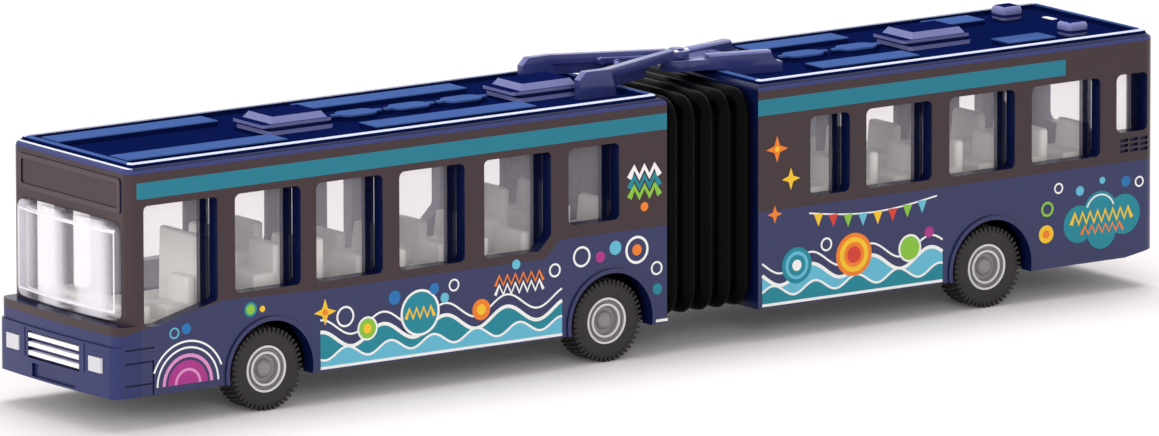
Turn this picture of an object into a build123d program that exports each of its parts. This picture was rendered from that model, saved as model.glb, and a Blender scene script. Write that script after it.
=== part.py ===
from build123d import *
import os
from math import atan2, degrees, hypot

# Small die-cast articulated bus: a front section and a rear section joined by a bellows.
# Frame in millimetres: +X to the front bumper, +Y to the driver's side, +Z up, wheels stand on Z = 0.
# Each section has a hollow metal shell, a roof moulding, clear glazing, a seat tray and a black base.

# Overall sizes
front_x = 90.0              # foremost point of the bumper
rear_x = -90.0              # rear wall
half_width = 14.5           # body side from the middle plane
skirt_z = 4.6               # lower edge of both bodies
shell_top_z = 36.6          # upper edge of the metal shells
rim_z = 37.1                # top of the bead round the roof
face_x = 87.0               # upper front face, above the bumper
front_end_x = -3.9          # rear end of the front section
rear_start_x = -19.7        # front end of the rear section
pivot_x = -16.0             # vertical hinge axis between the sections

# Walls and fits
side_wall = 2.1             # die-cast side walls
end_wall = 1.5              # die-cast end walls
pocket_wall = 0.9           # wall left beside the roof moulding
seat_gap = 0.02             # flat faces that rest on each other
fit_gap = 0.1               # parts that drop into the shells
pin_gap = 0.06              # round pins in their holes

# Shell corners
front_corner_r = 1.6
rear_corner_r = 2.0
shoulder_r = 0.9
portal_half_width = half_width - 5.5
portal_low_z = 7.2
portal_high_z = 32.5

# Roof moulding
roof_seat_z = 34.8
roof_floor_z = 36.3
rim_width = 0.8
strip_in_y = half_width - 8.2
strip_out_y = half_width - 3.9
vent_length = 6.4
vent_width = 3.6
vent_lug_length = 8.6
vent_lug_width = 0.9
vent_top_z = 37.2
front_strips = ((57.9, 84.6), (15.7, 42.8))
rear_strips = ((-50.8, -33.9), (-75.0, -66.7))
front_vents = (39.0, 30.0, 21.1)
rear_vents = (-38.1, -47.4)
roof_box_x = -80.0
roof_box_y = half_width - 6.7
roof_box_length = 5.0
roof_box_width = 4.2
roof_box_top_z = 38.5

# Roof hatches: name, middle x
hatches = (("front_roof_hatch_1", 51.0), ("front_roof_hatch_2", 8.6), ("rear_roof_hatch", -59.4))
hatch_length = 9.4
hatch_width = 7.0
hatch_height = 2.4
hatch_foot_height = 0.7     # wide flange on the roof
hatch_neck_height = 0.35    # dark groove over the flange
hatch_lip_height = 0.45     # second flange
hatch_lip = 0.7             # how far the flanges reach past the neck
hatch_nose = 0.9            # the second flange reaches further at the front
hatch_slope = 1.2           # sloping sides of the lid

# Windows
window_top_z = 31.2
front_sill_z = 17.3
high_sill_z = 20.3
rear_sill_z = 19.8
window_corner_r = 0.9
# Driver's side and far side, front section: low x, high x, sill
front_windows = (
    (58.4, 69.4, front_sill_z),
    (44.6, 55.8, front_sill_z),
    (4.3, 13.0, high_sill_z),
)
near_windows = ((30.7, 41.8, front_sill_z),)
cab_low_x = 72.3
cab_high_x = 84.6
cab_sill_z = 14.3
cab_sill_rise = 2.4
cab_level_x = 82.0
step_window_low_x = 16.0
step_window_high_x = 27.4
step_window_rise = 2.1
# Rear section on both sides: low x, high x, sill
rear_windows = (
    (-35.7, -28.8, rear_sill_z),
    (-64.8, -53.2, rear_sill_z),
    (-88.4, -82.9, 22.8),
)
near_rear_windows = ((-50.1, -38.6, rear_sill_z), (-80.0, -67.8, rear_sill_z))
louvre_low_x = -88.5
louvre_high_x = -83.2
louvre_low_z = 19.9
louvre_high_z = 22.2
louvre_rows = 3
louvre_columns = 3
louvre_depth = 0.4

# Far side doors, two leaves each: low x, high x
doors = ((73.0, 85.0), (30.2, 42.3), (-50.4, -38.3), (-80.2, -68.1))
door_low_z = 5.6
door_high_z = 32.4
door_glass_low_z = 14.2
door_post = 0.9
door_groove = 0.35

# Front end
bumper_back_x = 84.0
bumper_side_x = 89.4        # the front bows forward from here
bumper_top_z = 14.6
bumper_corner_r = 1.6
bumper_step_z = 11.8        # the lower half of the bumper stands a little proud
bumper_step = 0.35
bumper_grooves = (11.2, 9.3, 6.2)
bumper_groove_x = 83.0
bumper_groove = 0.25
bumper_rib_y = 7.3
bumper_rib_width = 0.45
bumper_rib_proud = 0.1
bumper_rib_low_z = 7.5
bumper_rib_high_z = 11.5
sign_half_width = half_width - 2.0
sign_low_z = 30.1
sign_high_z = 35.0
sign_depth = 0.4
sign_frame = 0.7
screen_half_width = half_width - 2.0
screen_low_z = 14.9
screen_high_z = 28.8
screen_corner_r = 1.6
screen_proud = 0.6          # at its sides
screen_bulge = 1.5          # in the middle
screen_edge_r = 0.35
lamp_in_y = half_width - 6.0
lamp_out_y = half_width - 2.8
lamp_low_z = 7.9
lamp_high_z = 10.2
lamp_depth = 0.9
lamp_proud = 0.15
grille_half_width = 6.3
grille_low_z = 7.4
grille_high_z = 11.2
grille_depth = 0.8
grille_bar_zs = (10.6, 9.35, 8.1)
grille_bar_height = 0.62
plate_half_width = 5.3
plate_low_z = 4.9
plate_high_z = 6.8
plate_depth = 0.25

# Rear end
rear_window_half_width = half_width - 4.0
rear_window_low_z = 20.5
rear_window_high_z = 31.0
rear_lamp_y = half_width - 2.5
rear_lamp_width = 2.0
rear_lamp_low_z = 9.0
rear_lamp_high_z = 15.0
rear_lamp_depth = 0.6
rear_grille_half_width = 8.0
rear_grille_low_z = 9.5
rear_grille_high_z = 16.5
rear_grille_slots = 5
kick_x = -84.5
kick_rise = 1.1

# Wheels and axles: name, x, section
axle_z = 5.83
axles = (("front", 63.6), ("middle", 5.8), ("rear", -60.6))
tyre_r = 5.83
tyre_bore_r = 3.32
tyre_outer_y = half_width - 0.8
tyre_width = 4.2
tyre_shoulder_r = 0.9
rim_outer_y = half_width - 1.0
rim_dish_depth = 0.9
rim_ring_r = 2.45           # second ring, inside a dark groove
rim_ring_in_r = 2.0
hub_r = 1.3
hub_inner_y = half_width - 5.55
axle_r = 0.75
axle_end_y = half_width - 1.9
arch_r = 7.0
arch_lip = 0.6
arch_proud = 0.3

# Glazing, seats and base
glass = 0.8
glazing_low_z = 13.5
glazing_high_z = 34.6
tray_low_z = 12.5
tray_top_z = 13.3
seat_cushion_z = 15.6
seat_back_z = 21.4
seat_depth = 3.4
seat_back_thickness = 1.0
seat_inner_y = 3.6
seat_wall_gap = 0.3
seat_outer_y = half_width - side_wall - glass - seat_wall_gap
cab_outer_y = half_width - 5.5
front_seat_xs = (60.5, 53.5, 46.5, 39.5, 32.5, 25.5, 18.5, 11.5, 4.5)
rear_seat_xs = (-27.0, -34.5, -42.0, -49.5, -57.0, -64.5, -72.0, -79.5)
partition_x = 71.0
partition_top_z = 27.0
cab_seat_x = 74.0
dash_x = 81.0
dash_top_z = 16.2
base_low_z = 4.75
base_top_z = 5.75
well_half_length = 7.4
well_in_y = half_width - 5.7
lug_in_y = half_width - 7.9
lug_out_y = half_width - 5.7
lug_half_length = 2.0
lug_top_z = 8.0
slot_half_length = 1.3
post_r = 1.6
front_post_xs = (79.0, 34.0)
rear_post_xs = (-32.0, -80.0)
rivet_r = 1.3               # hollow under each post
rivet_depth = 0.5
relief_depth = 0.3          # shallow panels in the underside
relief_half_width = 6.0
front_reliefs = ((14.0, 30.0), (40.0, 54.0))
rear_reliefs = ((-76.0, -70.0), (-50.0, -36.0))

# Bellows
bellows_gap = 0.15
bellows_pleats = 5
bellows_ridge_half_width = half_width - 0.6
bellows_valley = 1.3
bellows_top_z = 36.2
bellows_low_z = 4.9
bellows_corner_r = 3.2
bellows_wall = 1.0

# Couplings, low tongues and roof arms
tongue_half_width = 4.0
tongue_thickness = 1.1
tongue_gap = 0.25
tongue_low_z = 7.5
tongue_root = 3.0
pin_r = 1.2
bracket_lift = 0.2          # rear bracket over the roof bead
eye_thickness = 1.5
knuckle_gap = 0.2           # front knuckle over the rear eye
knuckle_r = 1.9
knuckle_thickness = 1.0
button_r = 0.95
button_height = 0.3
arm_front_x = 6.1
arm_foot_x = 0.8
arm_front_y = 6.9
arm_nose = 1.1              # slanted upper corner of the foot
arm_thickness = 1.3
arm_height = 1.3
flange_thickness = 0.9      # second bar, beside the main bar
flange_gap = 0.6
flange_drop = 0.5
flange_start = 0.36         # where the second bar starts, as a share of the arm
flange_end = 0.84
web_thickness = 0.6
web_height = 1.5
web_end = 0.55
boss_r = 0.5
boss_length = 0.7
bracket_nose = 2.6
bracket_half_width = 4.6
bracket_back = 3.1
bracket_corner_r = 1.2
foot_start = 2.1            # the rear arms stand on the roof from here back
foot_length = 2.4
rib_start = 0.6
rib_start_y = 2.7
rear_arm_x = -30.1
rear_arm_y = 5.5
rib_thickness = 1.8
rib_rise = 0.7              # ribs over the eye
rib_end_r = 1.7
rib_edge_r = 0.45

# Heights that follow from the roof
bracket_low_z = rim_z + bracket_lift
eye_top_z = bracket_low_z + eye_thickness
knuckle_low_z = eye_top_z + knuckle_gap
knuckle_top_z = knuckle_low_z + knuckle_thickness
arm_low_z = eye_top_z + knuckle_gap / 2
arm_top_z = arm_low_z + arm_height
rib_top_z = eye_top_z + rib_rise
hatch_top_z = roof_floor_z + hatch_height
rim_r = tyre_bore_r

os.makedirs("parts", exist_ok=True)


def save(part, label):
    part.label = label
    export_step(part, "parts/" + label + ".step")


def window_cut(x_low, x_high, z_low, z_high, side):
    """Rounded window through one side wall; side is 1 for +Y and -1 for -Y."""
    with BuildPart(mode=Mode.PRIVATE) as cut:
        with BuildSketch(Plane.XZ.offset(-side * (half_width + 1.0))):
            with Locations(((x_low + x_high) / 2, (z_low + z_high) / 2)):
                RectangleRounded(x_high - x_low, z_high - z_low, window_corner_r)
        extrude(amount=side * (side_wall + 2.0))
    return cut.part


def outline_cut(points, side):
    """Many-cornered window through one side wall."""
    with BuildPart(mode=Mode.PRIVATE) as cut:
        with BuildSketch(Plane.XZ.offset(-side * (half_width + 1.0))) as sketch:
            with BuildLine():
                Polyline(*points, close=True)
            make_face()
            fillet(sketch.vertices(), window_corner_r * 0.8)
        extrude(amount=side * (side_wall + 2.0))
    return cut.part


def block(x_low, x_high, y_low, y_high, z_low, z_high):
    """Plain block between two corners, kept out of the part that is being built."""
    with BuildPart(mode=Mode.PRIVATE) as made:
        with BuildSketch(Plane.XY.offset(z_low)):
            with Locations(((x_low + x_high) / 2, (y_low + y_high) / 2)):
                Rectangle(x_high - x_low, y_high - y_low)
        extrude(amount=z_high - z_low)
    return made.part


def across(x, z, radius, y_low, y_high):
    """Round bar along Y."""
    with BuildPart(mode=Mode.PRIVATE) as made:
        with BuildSketch(Plane.XZ.offset(-y_high)):
            with Locations((x, z)):
                Circle(radius)
        extrude(amount=y_high - y_low)
    return made.part


def arch_lip_ring(x, side):
    """Raised half-ring round one wheel arch."""
    with BuildPart(mode=Mode.PRIVATE) as ring:
        with BuildSketch(Plane.XZ.offset(-side * half_width)):
            with Locations((x, axle_z)):
                Circle(arch_r + arch_lip)
                Circle(arch_r, mode=Mode.SUBTRACT)
            with Locations((x, skirt_z + 2 * arch_r)):
                Rectangle(4 * arch_r, 4 * arch_r, mode=Mode.INTERSECT)
        extrude(amount=-side * arch_proud)
    return ring.part


def door_grooves(x_low, x_high):
    """Panel lines of a two-leaf door on the far side."""
    middle = (x_low + x_high) / 2
    with BuildPart(mode=Mode.PRIVATE) as cut:
        with BuildSketch(Plane.XZ.offset(half_width)):
            with Locations((middle, (door_low_z + door_high_z) / 2)):
                Rectangle(x_high - x_low, door_high_z - door_low_z)
                Rectangle(x_high - x_low - 2 * door_groove, door_high_z - door_low_z - 2 * door_groove,
                          mode=Mode.SUBTRACT)
                Rectangle(door_groove, door_high_z - door_low_z)
        extrude(amount=-door_groove)
    return cut.part


def door_glass(x_low, x_high):
    """The two window openings of a door, low x and high x of each."""
    middle = (x_low + x_high) / 2
    return ((x_low + door_post, middle - door_post), (middle + door_post, x_high - door_post))


def cavity(x_low, x_high):
    """Room inside a shell, open below, with a wider pocket for the roof above."""
    inside = block(x_low + end_wall, x_high - end_wall, side_wall - half_width, half_width - side_wall,
                   skirt_z - 1.0, shell_top_z + 1.0)
    pocket = block(x_low + pocket_wall, x_high - pocket_wall, pocket_wall - half_width,
                   half_width - pocket_wall, roof_seat_z, shell_top_z + 1.0)
    return inside, pocket


def roof_moulding(x_low, x_high, strips, vents):
    """Roof pan with a bead round it, long raised strips and low oval vents."""
    edge = pocket_wall + fit_gap / 2
    with BuildPart(mode=Mode.PRIVATE) as pan:
        with BuildSketch(Plane.XY.offset(roof_seat_z + seat_gap)):
            with Locations(((x_low + x_high) / 2, 0)):
                RectangleRounded(x_high - x_low - 2 * edge, 2 * (half_width - edge), 0.6)
        extrude(amount=rim_z - roof_seat_z - seat_gap)
        fillet(pan.edges().group_by(Axis.Z)[-1], rim_width * 0.4)
        with BuildSketch(Plane.XY.offset(roof_floor_z)):
            with Locations(((x_low + x_high) / 2, 0)):
                Rectangle(x_high - x_low - 2 * (edge + rim_width), 2 * (half_width - edge - rim_width))
        extrude(amount=rim_z - roof_floor_z + 1.0, mode=Mode.SUBTRACT)
        for low, high in strips:
            with BuildSketch(Plane.XY.offset(roof_floor_z)):
                with Locations(((low + high) / 2, (strip_in_y + strip_out_y) / 2),
                               ((low + high) / 2, -(strip_in_y + strip_out_y) / 2)):
                    Rectangle(high - low, strip_out_y - strip_in_y)
            extrude(amount=rim_z - roof_floor_z)
        for x in vents:
            with BuildSketch(Plane.XY.offset(roof_floor_z)):
                with Locations((x, 0)):
                    SlotOverall(vent_length, vent_width)
                    SlotOverall(vent_lug_length, vent_lug_width)
            extrude(amount=vent_top_z - roof_floor_z)
    return pan.part


def base_plate(x_low, x_high, wheel_xs, post_xs, reliefs):
    """Black base with wheel wells, axle lugs, shallow panels below and posts up to the seat tray."""
    with BuildPart(mode=Mode.PRIVATE) as plate:
        add(block(x_low + end_wall + fit_gap, x_high - end_wall - fit_gap, side_wall + fit_gap - half_width,
                  half_width - side_wall - fit_gap, base_low_z, base_top_z))
        for x in wheel_xs:
            for side in (1, -1):
                y_low, y_high = sorted((side * lug_in_y, side * lug_out_y))
                add(block(x - lug_half_length, x + lug_half_length, y_low, y_high, base_low_z, lug_top_z))
                y_low, y_high = sorted((side * well_in_y, side * half_width))
                add(block(x - well_half_length, x + well_half_length, y_low, y_high,
                          base_low_z - 1.0, base_top_z + 1.0), mode=Mode.SUBTRACT)
            add(block(x - slot_half_length, x + slot_half_length, -lug_in_y, lug_in_y,
                      base_low_z - 1.0, base_top_z + 1.0), mode=Mode.SUBTRACT)
            add(across(x, axle_z, axle_r + pin_gap, -half_width, half_width), mode=Mode.SUBTRACT)
        for x in post_xs:
            with BuildSketch(Plane.XY.offset(base_top_z)):
                with Locations((x, 0)):
                    Circle(post_r)
            extrude(amount=tray_low_z - seat_gap - base_top_z)
            with BuildSketch(Plane.XY.offset(base_low_z)):
                with Locations((x, 0)):
                    Circle(rivet_r)
            extrude(amount=rivet_depth, mode=Mode.SUBTRACT)
        for low, high in reliefs:
            with BuildSketch(Plane.XY.offset(base_low_z)):
                with Locations(((low + high) / 2, 0)):
                    RectangleRounded(high - low, 2 * relief_half_width, 1.0)
            extrude(amount=relief_depth, mode=Mode.SUBTRACT)
    return plate.part


def seat_pair(x, side):
    """One double seat: cushion and upright back."""
    y_low, y_high = sorted((side * seat_inner_y, side * seat_outer_y))
    with BuildPart(mode=Mode.PRIVATE) as seat:
        add(block(x, x + seat_depth, y_low, y_high, tray_top_z, seat_cushion_z))
        add(block(x - seat_back_thickness, x, y_low, y_high, tray_top_z, seat_back_z))
        tops = seat.edges().filter_by(Axis.X).group_by(Axis.Z)[-1]
        fillet(tops, 1.2)
    return seat.part


def bumper_face(y):
    """How far forward the bowed bumper reaches at a distance from the middle plane."""
    return front_x - (front_x - bumper_side_x) * (y / half_width) ** 2


def bulged_screen(x_back, depth, inset):
    """Windscreen block, bowed in plan, with rounded corners; depth sets its face back, inset its edges."""
    half = screen_half_width - inset
    side_x = face_x + screen_proud - depth
    middle_x = face_x + screen_bulge - depth
    with BuildPart(mode=Mode.PRIVATE) as screen:
        with BuildSketch(Plane.XY.offset(screen_low_z + inset)):
            with BuildLine():
                ThreePointArc((side_x, -half), (middle_x, 0), (side_x, half))
                Line((side_x, half), (x_back, half))
                Line((x_back, half), (x_back, -half))
                Line((x_back, -half), (side_x, -half))
            make_face()
        extrude(amount=screen_high_z - screen_low_z - 2 * inset)
        with BuildSketch(Plane.YZ.offset(x_back - 1.0)):
            with Locations((0, (screen_low_z + screen_high_z) / 2)):
                RectangleRounded(2 * half, screen_high_z - screen_low_z - 2 * inset,
                                 screen_corner_r - inset / 2)
        extrude(amount=middle_x - x_back + 2.0, mode=Mode.INTERSECT)
        fillet(screen.faces().sort_by(Axis.X)[-1].edges(), screen_edge_r)
    return screen.part


# Front section: metal shell
front_inside, front_pocket = cavity(front_end_x, face_x)
with BuildPart() as front_body:
    with BuildSketch(Plane.XY.offset(skirt_z)) as plan:
        with Locations(((front_end_x + face_x) / 2, 0)):
            Rectangle(face_x - front_end_x, 2 * half_width)
        fillet(plan.vertices().group_by(Axis.X)[-1], front_corner_r)
    extrude(amount=shell_top_z - skirt_z)
    fillet(front_body.edges().group_by(Axis.Z)[-1], shoulder_r)
    for low, high, back in ((skirt_z, bumper_step_z, 0), (bumper_step_z, bumper_top_z, bumper_step)):
        with BuildSketch(Plane.XY.offset(low)) as bumper:
            with BuildLine():
                Line((bumper_back_x, -half_width), (bumper_side_x - back, -half_width))
                ThreePointArc((bumper_side_x - back, -half_width), (front_x - back, 0),
                              (bumper_side_x - back, half_width))
                Line((bumper_side_x - back, half_width), (bumper_back_x, half_width))
                Line((bumper_back_x, half_width), (bumper_back_x, -half_width))
            make_face()
            fillet(bumper.vertices().group_by(Axis.X)[-1], bumper_corner_r)
        extrude(amount=high - low)
    add(front_inside, mode=Mode.SUBTRACT)
    add(front_pocket, mode=Mode.SUBTRACT)
    for x_low, x_high, sill in front_windows:
        for side in (1, -1):
            add(window_cut(x_low, x_high, sill, window_top_z, side), mode=Mode.SUBTRACT)
    for x_low, x_high, sill in near_windows:
        add(window_cut(x_low, x_high, sill, window_top_z, 1), mode=Mode.SUBTRACT)
    add(outline_cut(((cab_low_x, window_top_z), (cab_high_x, window_top_z), (cab_high_x, cab_sill_z),
                     (cab_level_x, cab_sill_z), (cab_low_x, cab_sill_z + cab_sill_rise)), 1),
        mode=Mode.SUBTRACT)
    for side in (1, -1):
        add(outline_cut(((step_window_low_x, window_top_z), (step_window_high_x, window_top_z),
                         (step_window_high_x, front_sill_z),
                         (step_window_low_x + step_window_rise, front_sill_z),
                         (step_window_low_x, front_sill_z + step_window_rise)), side), mode=Mode.SUBTRACT)
    for x_low, x_high in doors[:2]:
        add(door_grooves(x_low, x_high), mode=Mode.SUBTRACT)
        for low, high in door_glass(x_low, x_high):
            add(window_cut(low, high, door_glass_low_z, window_top_z, -1), mode=Mode.SUBTRACT)
    for name, x in axles[:2]:
        add(across(x, axle_z, arch_r, -half_width - 1.0, half_width + 1.0), mode=Mode.SUBTRACT)
        for side in (1, -1):
            add(arch_lip_ring(x, side))
    # Windscreen opening, blank destination panel and the recesses in the bumper
    with BuildSketch(Plane.YZ.offset(face_x + 1.0)):
        with Locations((0, (screen_low_z + screen_high_z) / 2)):
            RectangleRounded(2 * screen_half_width, screen_high_z - screen_low_z, screen_corner_r)
    extrude(amount=-(end_wall + 2.0), mode=Mode.SUBTRACT)
    with BuildSketch(Plane.YZ.offset(face_x)):
        with Locations((0, (sign_low_z + sign_high_z) / 2)):
            RectangleRounded(2 * sign_half_width, sign_high_z - sign_low_z, 0.5)
            RectangleRounded(2 * (sign_half_width - sign_frame), sign_high_z - sign_low_z - 2 * sign_frame,
                             0.4, mode=Mode.SUBTRACT)
    extrude(amount=sign_depth / 2)
    for side in (1, -1):
        y_low, y_high = sorted((side * lamp_in_y, side * lamp_out_y))
        add(block(front_x - 1.0 - lamp_depth, front_x + 1.0, y_low, y_high, lamp_low_z, lamp_high_z),
            mode=Mode.SUBTRACT)
    add(block(front_x - grille_depth, front_x + 1.0, -grille_half_width, grille_half_width,
              grille_low_z, grille_high_z), mode=Mode.SUBTRACT)
    add(block(front_x - plate_depth - 0.3, front_x + 1.0, -plate_half_width, plate_half_width,
              plate_low_z, plate_high_z), mode=Mode.SUBTRACT)
    # Panel lines at the bumper's ends, and a thin upright rib beside the grille
    for side in (1, -1):
        y_low, y_high = sorted((side * (half_width - bumper_groove), side * (half_width + 1.0)))
        for z in bumper_grooves:
            add(block(bumper_groove_x, bumper_side_x - bumper_corner_r, y_low, y_high, z,
                      z + bumper_groove), mode=Mode.SUBTRACT)
        add(block(bumper_groove_x, bumper_groove_x + bumper_groove, y_low, y_high, skirt_z - 1.0,
                  bumper_grooves[1]), mode=Mode.SUBTRACT)
        add(block(bumper_side_x - 1.0, bumper_face(bumper_rib_y) + bumper_rib_proud,
                  side * bumper_rib_y - bumper_rib_width / 2, side * bumper_rib_y + bumper_rib_width / 2,
                  bumper_rib_low_z, bumper_rib_high_z))
    # Passage to the bellows
    with BuildSketch(Plane.YZ.offset(front_end_x - 1.0)):
        with Locations((0, (portal_low_z + portal_high_z) / 2)):
            RectangleRounded(2 * portal_half_width, portal_high_z - portal_low_z, 1.5)
    extrude(amount=end_wall + 2.0, mode=Mode.SUBTRACT)
save(front_body.part, "front_body")

# Headlamps and the bright grille bars, each seated in its recess
for name, side in (("headlamp_left", 1), ("headlamp_right", -1)):
    with BuildPart() as lamp:
        y_low, y_high = sorted((side * (lamp_in_y + fit_gap), side * (lamp_out_y - fit_gap)))
        add(block(front_x - 1.0 - lamp_depth + seat_gap, bumper_face(lamp_in_y) + lamp_proud, y_low, y_high,
                  lamp_low_z + fit_gap, lamp_high_z - fit_gap))
    save(lamp.part, name)

with BuildPart() as grille_bars:
    for z in grille_bar_zs:
        add(block(front_x - grille_depth + seat_gap, front_x - 0.1, -grille_half_width + fit_gap,
                  grille_half_width - fit_gap, z - grille_bar_height / 2, z + grille_bar_height / 2))
save(grille_bars.part, "grille_bars")

# Front roof moulding
with BuildPart() as front_roof:
    add(roof_moulding(front_end_x, face_x, front_strips, front_vents))
save(front_roof.part, "front_roof")

# Roof hatches: two flanges with a groove between them, and a lid with sloping sides
for name, x in hatches:
    foot_z = roof_floor_z + seat_gap
    neck_z = foot_z + hatch_foot_height
    lip_z = neck_z + hatch_neck_height
    lid_z = lip_z + hatch_lip_height
    with BuildPart() as hatch:
        with BuildSketch(Plane.XY.offset(foot_z)):
            with Locations((x, 0)):
                RectangleRounded(hatch_length + 2 * hatch_lip, hatch_width + 2 * hatch_lip, 0.5)
        extrude(amount=hatch_foot_height)
        with BuildSketch(Plane.XY.offset(neck_z)):
            with Locations((x, 0)):
                Rectangle(hatch_length, hatch_width)
        extrude(amount=hatch_neck_height)
        with BuildSketch(Plane.XY.offset(lip_z)):
            with Locations((x + hatch_nose / 2, 0)):
                RectangleRounded(hatch_length + 2 * hatch_lip + hatch_nose, hatch_width + hatch_lip, 0.5)
        extrude(amount=hatch_lip_height)
        with BuildSketch(Plane.XY.offset(lid_z)):
            with Locations((x, 0)):
                Rectangle(hatch_length, hatch_width)
        with BuildSketch(Plane.XY.offset(hatch_top_z)):
            with Locations((x, 0)):
                Rectangle(hatch_length - hatch_slope, hatch_width - hatch_slope)
        loft(ruled=True)
    save(hatch.part, name)

# Front glazing: two side panes joined under the roof, a front plate and the bulged windscreen
glass_y = half_width - side_wall - fit_gap
with BuildPart() as front_glazing:
    x_low = front_end_x + end_wall + fit_gap
    x_high = face_x - end_wall - fit_gap
    add(block(x_low, x_high, -glass_y, glass_y, glazing_low_z, glazing_high_z))
    add(block(x_low - 1.0, x_high - glass, -glass_y + glass, glass_y - glass,
              glazing_low_z - 1.0, glazing_high_z - glass), mode=Mode.SUBTRACT)
    add(bulged_screen(x_high - 0.2, 0.0, fit_gap))
    add(bulged_screen(x_high - glass - 1.0, glass, glass + fit_gap), mode=Mode.SUBTRACT)
save(front_glazing.part, "front_glazing")

# Front seat tray with the driver's place
tray_y = glass_y - glass - fit_gap
with BuildPart() as front_interior:
    add(block(front_end_x + end_wall + fit_gap, face_x - end_wall - 2 * fit_gap - glass, -tray_y, tray_y,
              tray_low_z, tray_top_z))
    for x in front_seat_xs:
        for side in (1, -1):
            add(seat_pair(x, side))
    add(block(partition_x, partition_x + 0.9, -1.0, tray_y - 0.3, tray_top_z, partition_top_z))
    add(block(cab_seat_x, cab_seat_x + seat_depth, seat_inner_y, cab_outer_y, tray_top_z, seat_cushion_z))
    add(block(cab_seat_x - seat_back_thickness, cab_seat_x, seat_inner_y, cab_outer_y, tray_top_z,
              seat_back_z))
    add(block(dash_x, dash_x + 2.6, -cab_outer_y, tray_y - 0.3, tray_top_z, dash_top_z))
save(front_interior.part, "front_interior")

# Front base with its tongue through the passage, which carries the coupling pin
front_tongue_low_z = tongue_low_z + tongue_thickness + tongue_gap
front_tongue_top_z = front_tongue_low_z + tongue_thickness
front_root_x = front_end_x + end_wall + fit_gap
with BuildPart() as front_base:
    add(base_plate(front_end_x, face_x, [x for name, x in axles[:2]], front_post_xs, front_reliefs))
    add(block(pivot_x, front_root_x + tongue_root, -tongue_half_width, tongue_half_width,
              front_tongue_low_z, front_tongue_top_z))
    add(block(front_root_x, front_root_x + tongue_root, -tongue_half_width, tongue_half_width,
              base_low_z, front_tongue_top_z))
    with BuildSketch(Plane.XY.offset(front_tongue_low_z)):
        with Locations((pivot_x, 0)):
            Circle(tongue_half_width)
    extrude(amount=tongue_thickness)
    with BuildSketch(Plane.XY.offset(tongue_low_z)):
        with Locations((pivot_x, 0)):
            Circle(pin_r)
    extrude(amount=front_tongue_top_z - tongue_low_z)
save(front_base.part, "front_base")

# Rear section: metal shell
rear_inside, rear_pocket = cavity(rear_x, rear_start_x)
with BuildPart() as rear_body:
    with BuildSketch(Plane.XY.offset(skirt_z)) as plan:
        with Locations(((rear_x + rear_start_x) / 2, 0)):
            Rectangle(rear_start_x - rear_x, 2 * half_width)
        fillet(plan.vertices().group_by(Axis.X)[0], rear_corner_r)
    extrude(amount=shell_top_z - skirt_z)
    fillet(rear_body.edges().group_by(Axis.Z)[-1], shoulder_r)
    add(rear_inside, mode=Mode.SUBTRACT)
    add(rear_pocket, mode=Mode.SUBTRACT)
    for x_low, x_high, sill in rear_windows:
        for side in (1, -1):
            add(window_cut(x_low, x_high, sill, window_top_z, side), mode=Mode.SUBTRACT)
    for x_low, x_high, sill in near_rear_windows:
        add(window_cut(x_low, x_high, sill, window_top_z, 1), mode=Mode.SUBTRACT)
    for x_low, x_high in doors[2:]:
        add(door_grooves(x_low, x_high), mode=Mode.SUBTRACT)
        for low, high in door_glass(x_low, x_high):
            add(window_cut(low, high, door_glass_low_z, window_top_z, -1), mode=Mode.SUBTRACT)
    add(across(axles[2][1], axle_z, arch_r, -half_width - 1.0, half_width + 1.0), mode=Mode.SUBTRACT)
    for side in (1, -1):
        add(arch_lip_ring(axles[2][1], side))
        # Engine air louvres under the last window
        width = (louvre_high_x - louvre_low_x) / louvre_columns
        height = (louvre_high_z - louvre_low_z) / louvre_rows
        y_low, y_high = sorted((side * (half_width - louvre_depth), side * (half_width + 1.0)))
        for column in range(louvre_columns):
            for row in range(louvre_rows):
                x_low = louvre_low_x + column * width
                z_low = louvre_low_z + row * height
                add(block(x_low, x_low + width * 0.8, y_low, y_high, z_low, z_low + height * 0.6),
                    mode=Mode.SUBTRACT)
    # Rear window, lamp recesses and the engine grille
    with BuildSketch(Plane.YZ.offset(rear_x - 1.0)):
        with Locations((0, (rear_window_low_z + rear_window_high_z) / 2)):
            RectangleRounded(2 * rear_window_half_width, rear_window_high_z - rear_window_low_z, 1.2)
    extrude(amount=end_wall + 2.0, mode=Mode.SUBTRACT)
    for side in (1, -1):
        y_low, y_high = sorted((side * (rear_lamp_y - rear_lamp_width / 2),
                                side * (rear_lamp_y + rear_lamp_width / 2)))
        add(block(rear_x - 1.0, rear_x + rear_lamp_depth, y_low, y_high, rear_lamp_low_z, rear_lamp_high_z),
            mode=Mode.SUBTRACT)
    for row in range(rear_grille_slots):
        pitch = (rear_grille_high_z - rear_grille_low_z) / rear_grille_slots
        z_low = rear_grille_low_z + row * pitch
        add(block(rear_x - 1.0, rear_x + 0.5, -rear_grille_half_width, rear_grille_half_width,
                  z_low, z_low + pitch * 0.55), mode=Mode.SUBTRACT)
    # Skirt rises towards the rear corner
    with BuildSketch(Plane.XZ.offset(-half_width - 1.0)):
        with BuildLine():
            Polyline((kick_x, skirt_z - 1.0), (kick_x, skirt_z), (rear_x - 1.0, skirt_z + kick_rise),
                     (rear_x - 1.0, skirt_z - 1.0), close=True)
        make_face()
    extrude(amount=2 * half_width + 2.0, mode=Mode.SUBTRACT)
    with BuildSketch(Plane.YZ.offset(rear_start_x + 1.0)):
        with Locations((0, (portal_low_z + portal_high_z) / 2)):
            RectangleRounded(2 * portal_half_width, portal_high_z - portal_low_z, 1.5)
    extrude(amount=-(end_wall + 2.0), mode=Mode.SUBTRACT)
save(rear_body.part, "rear_body")

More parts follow.
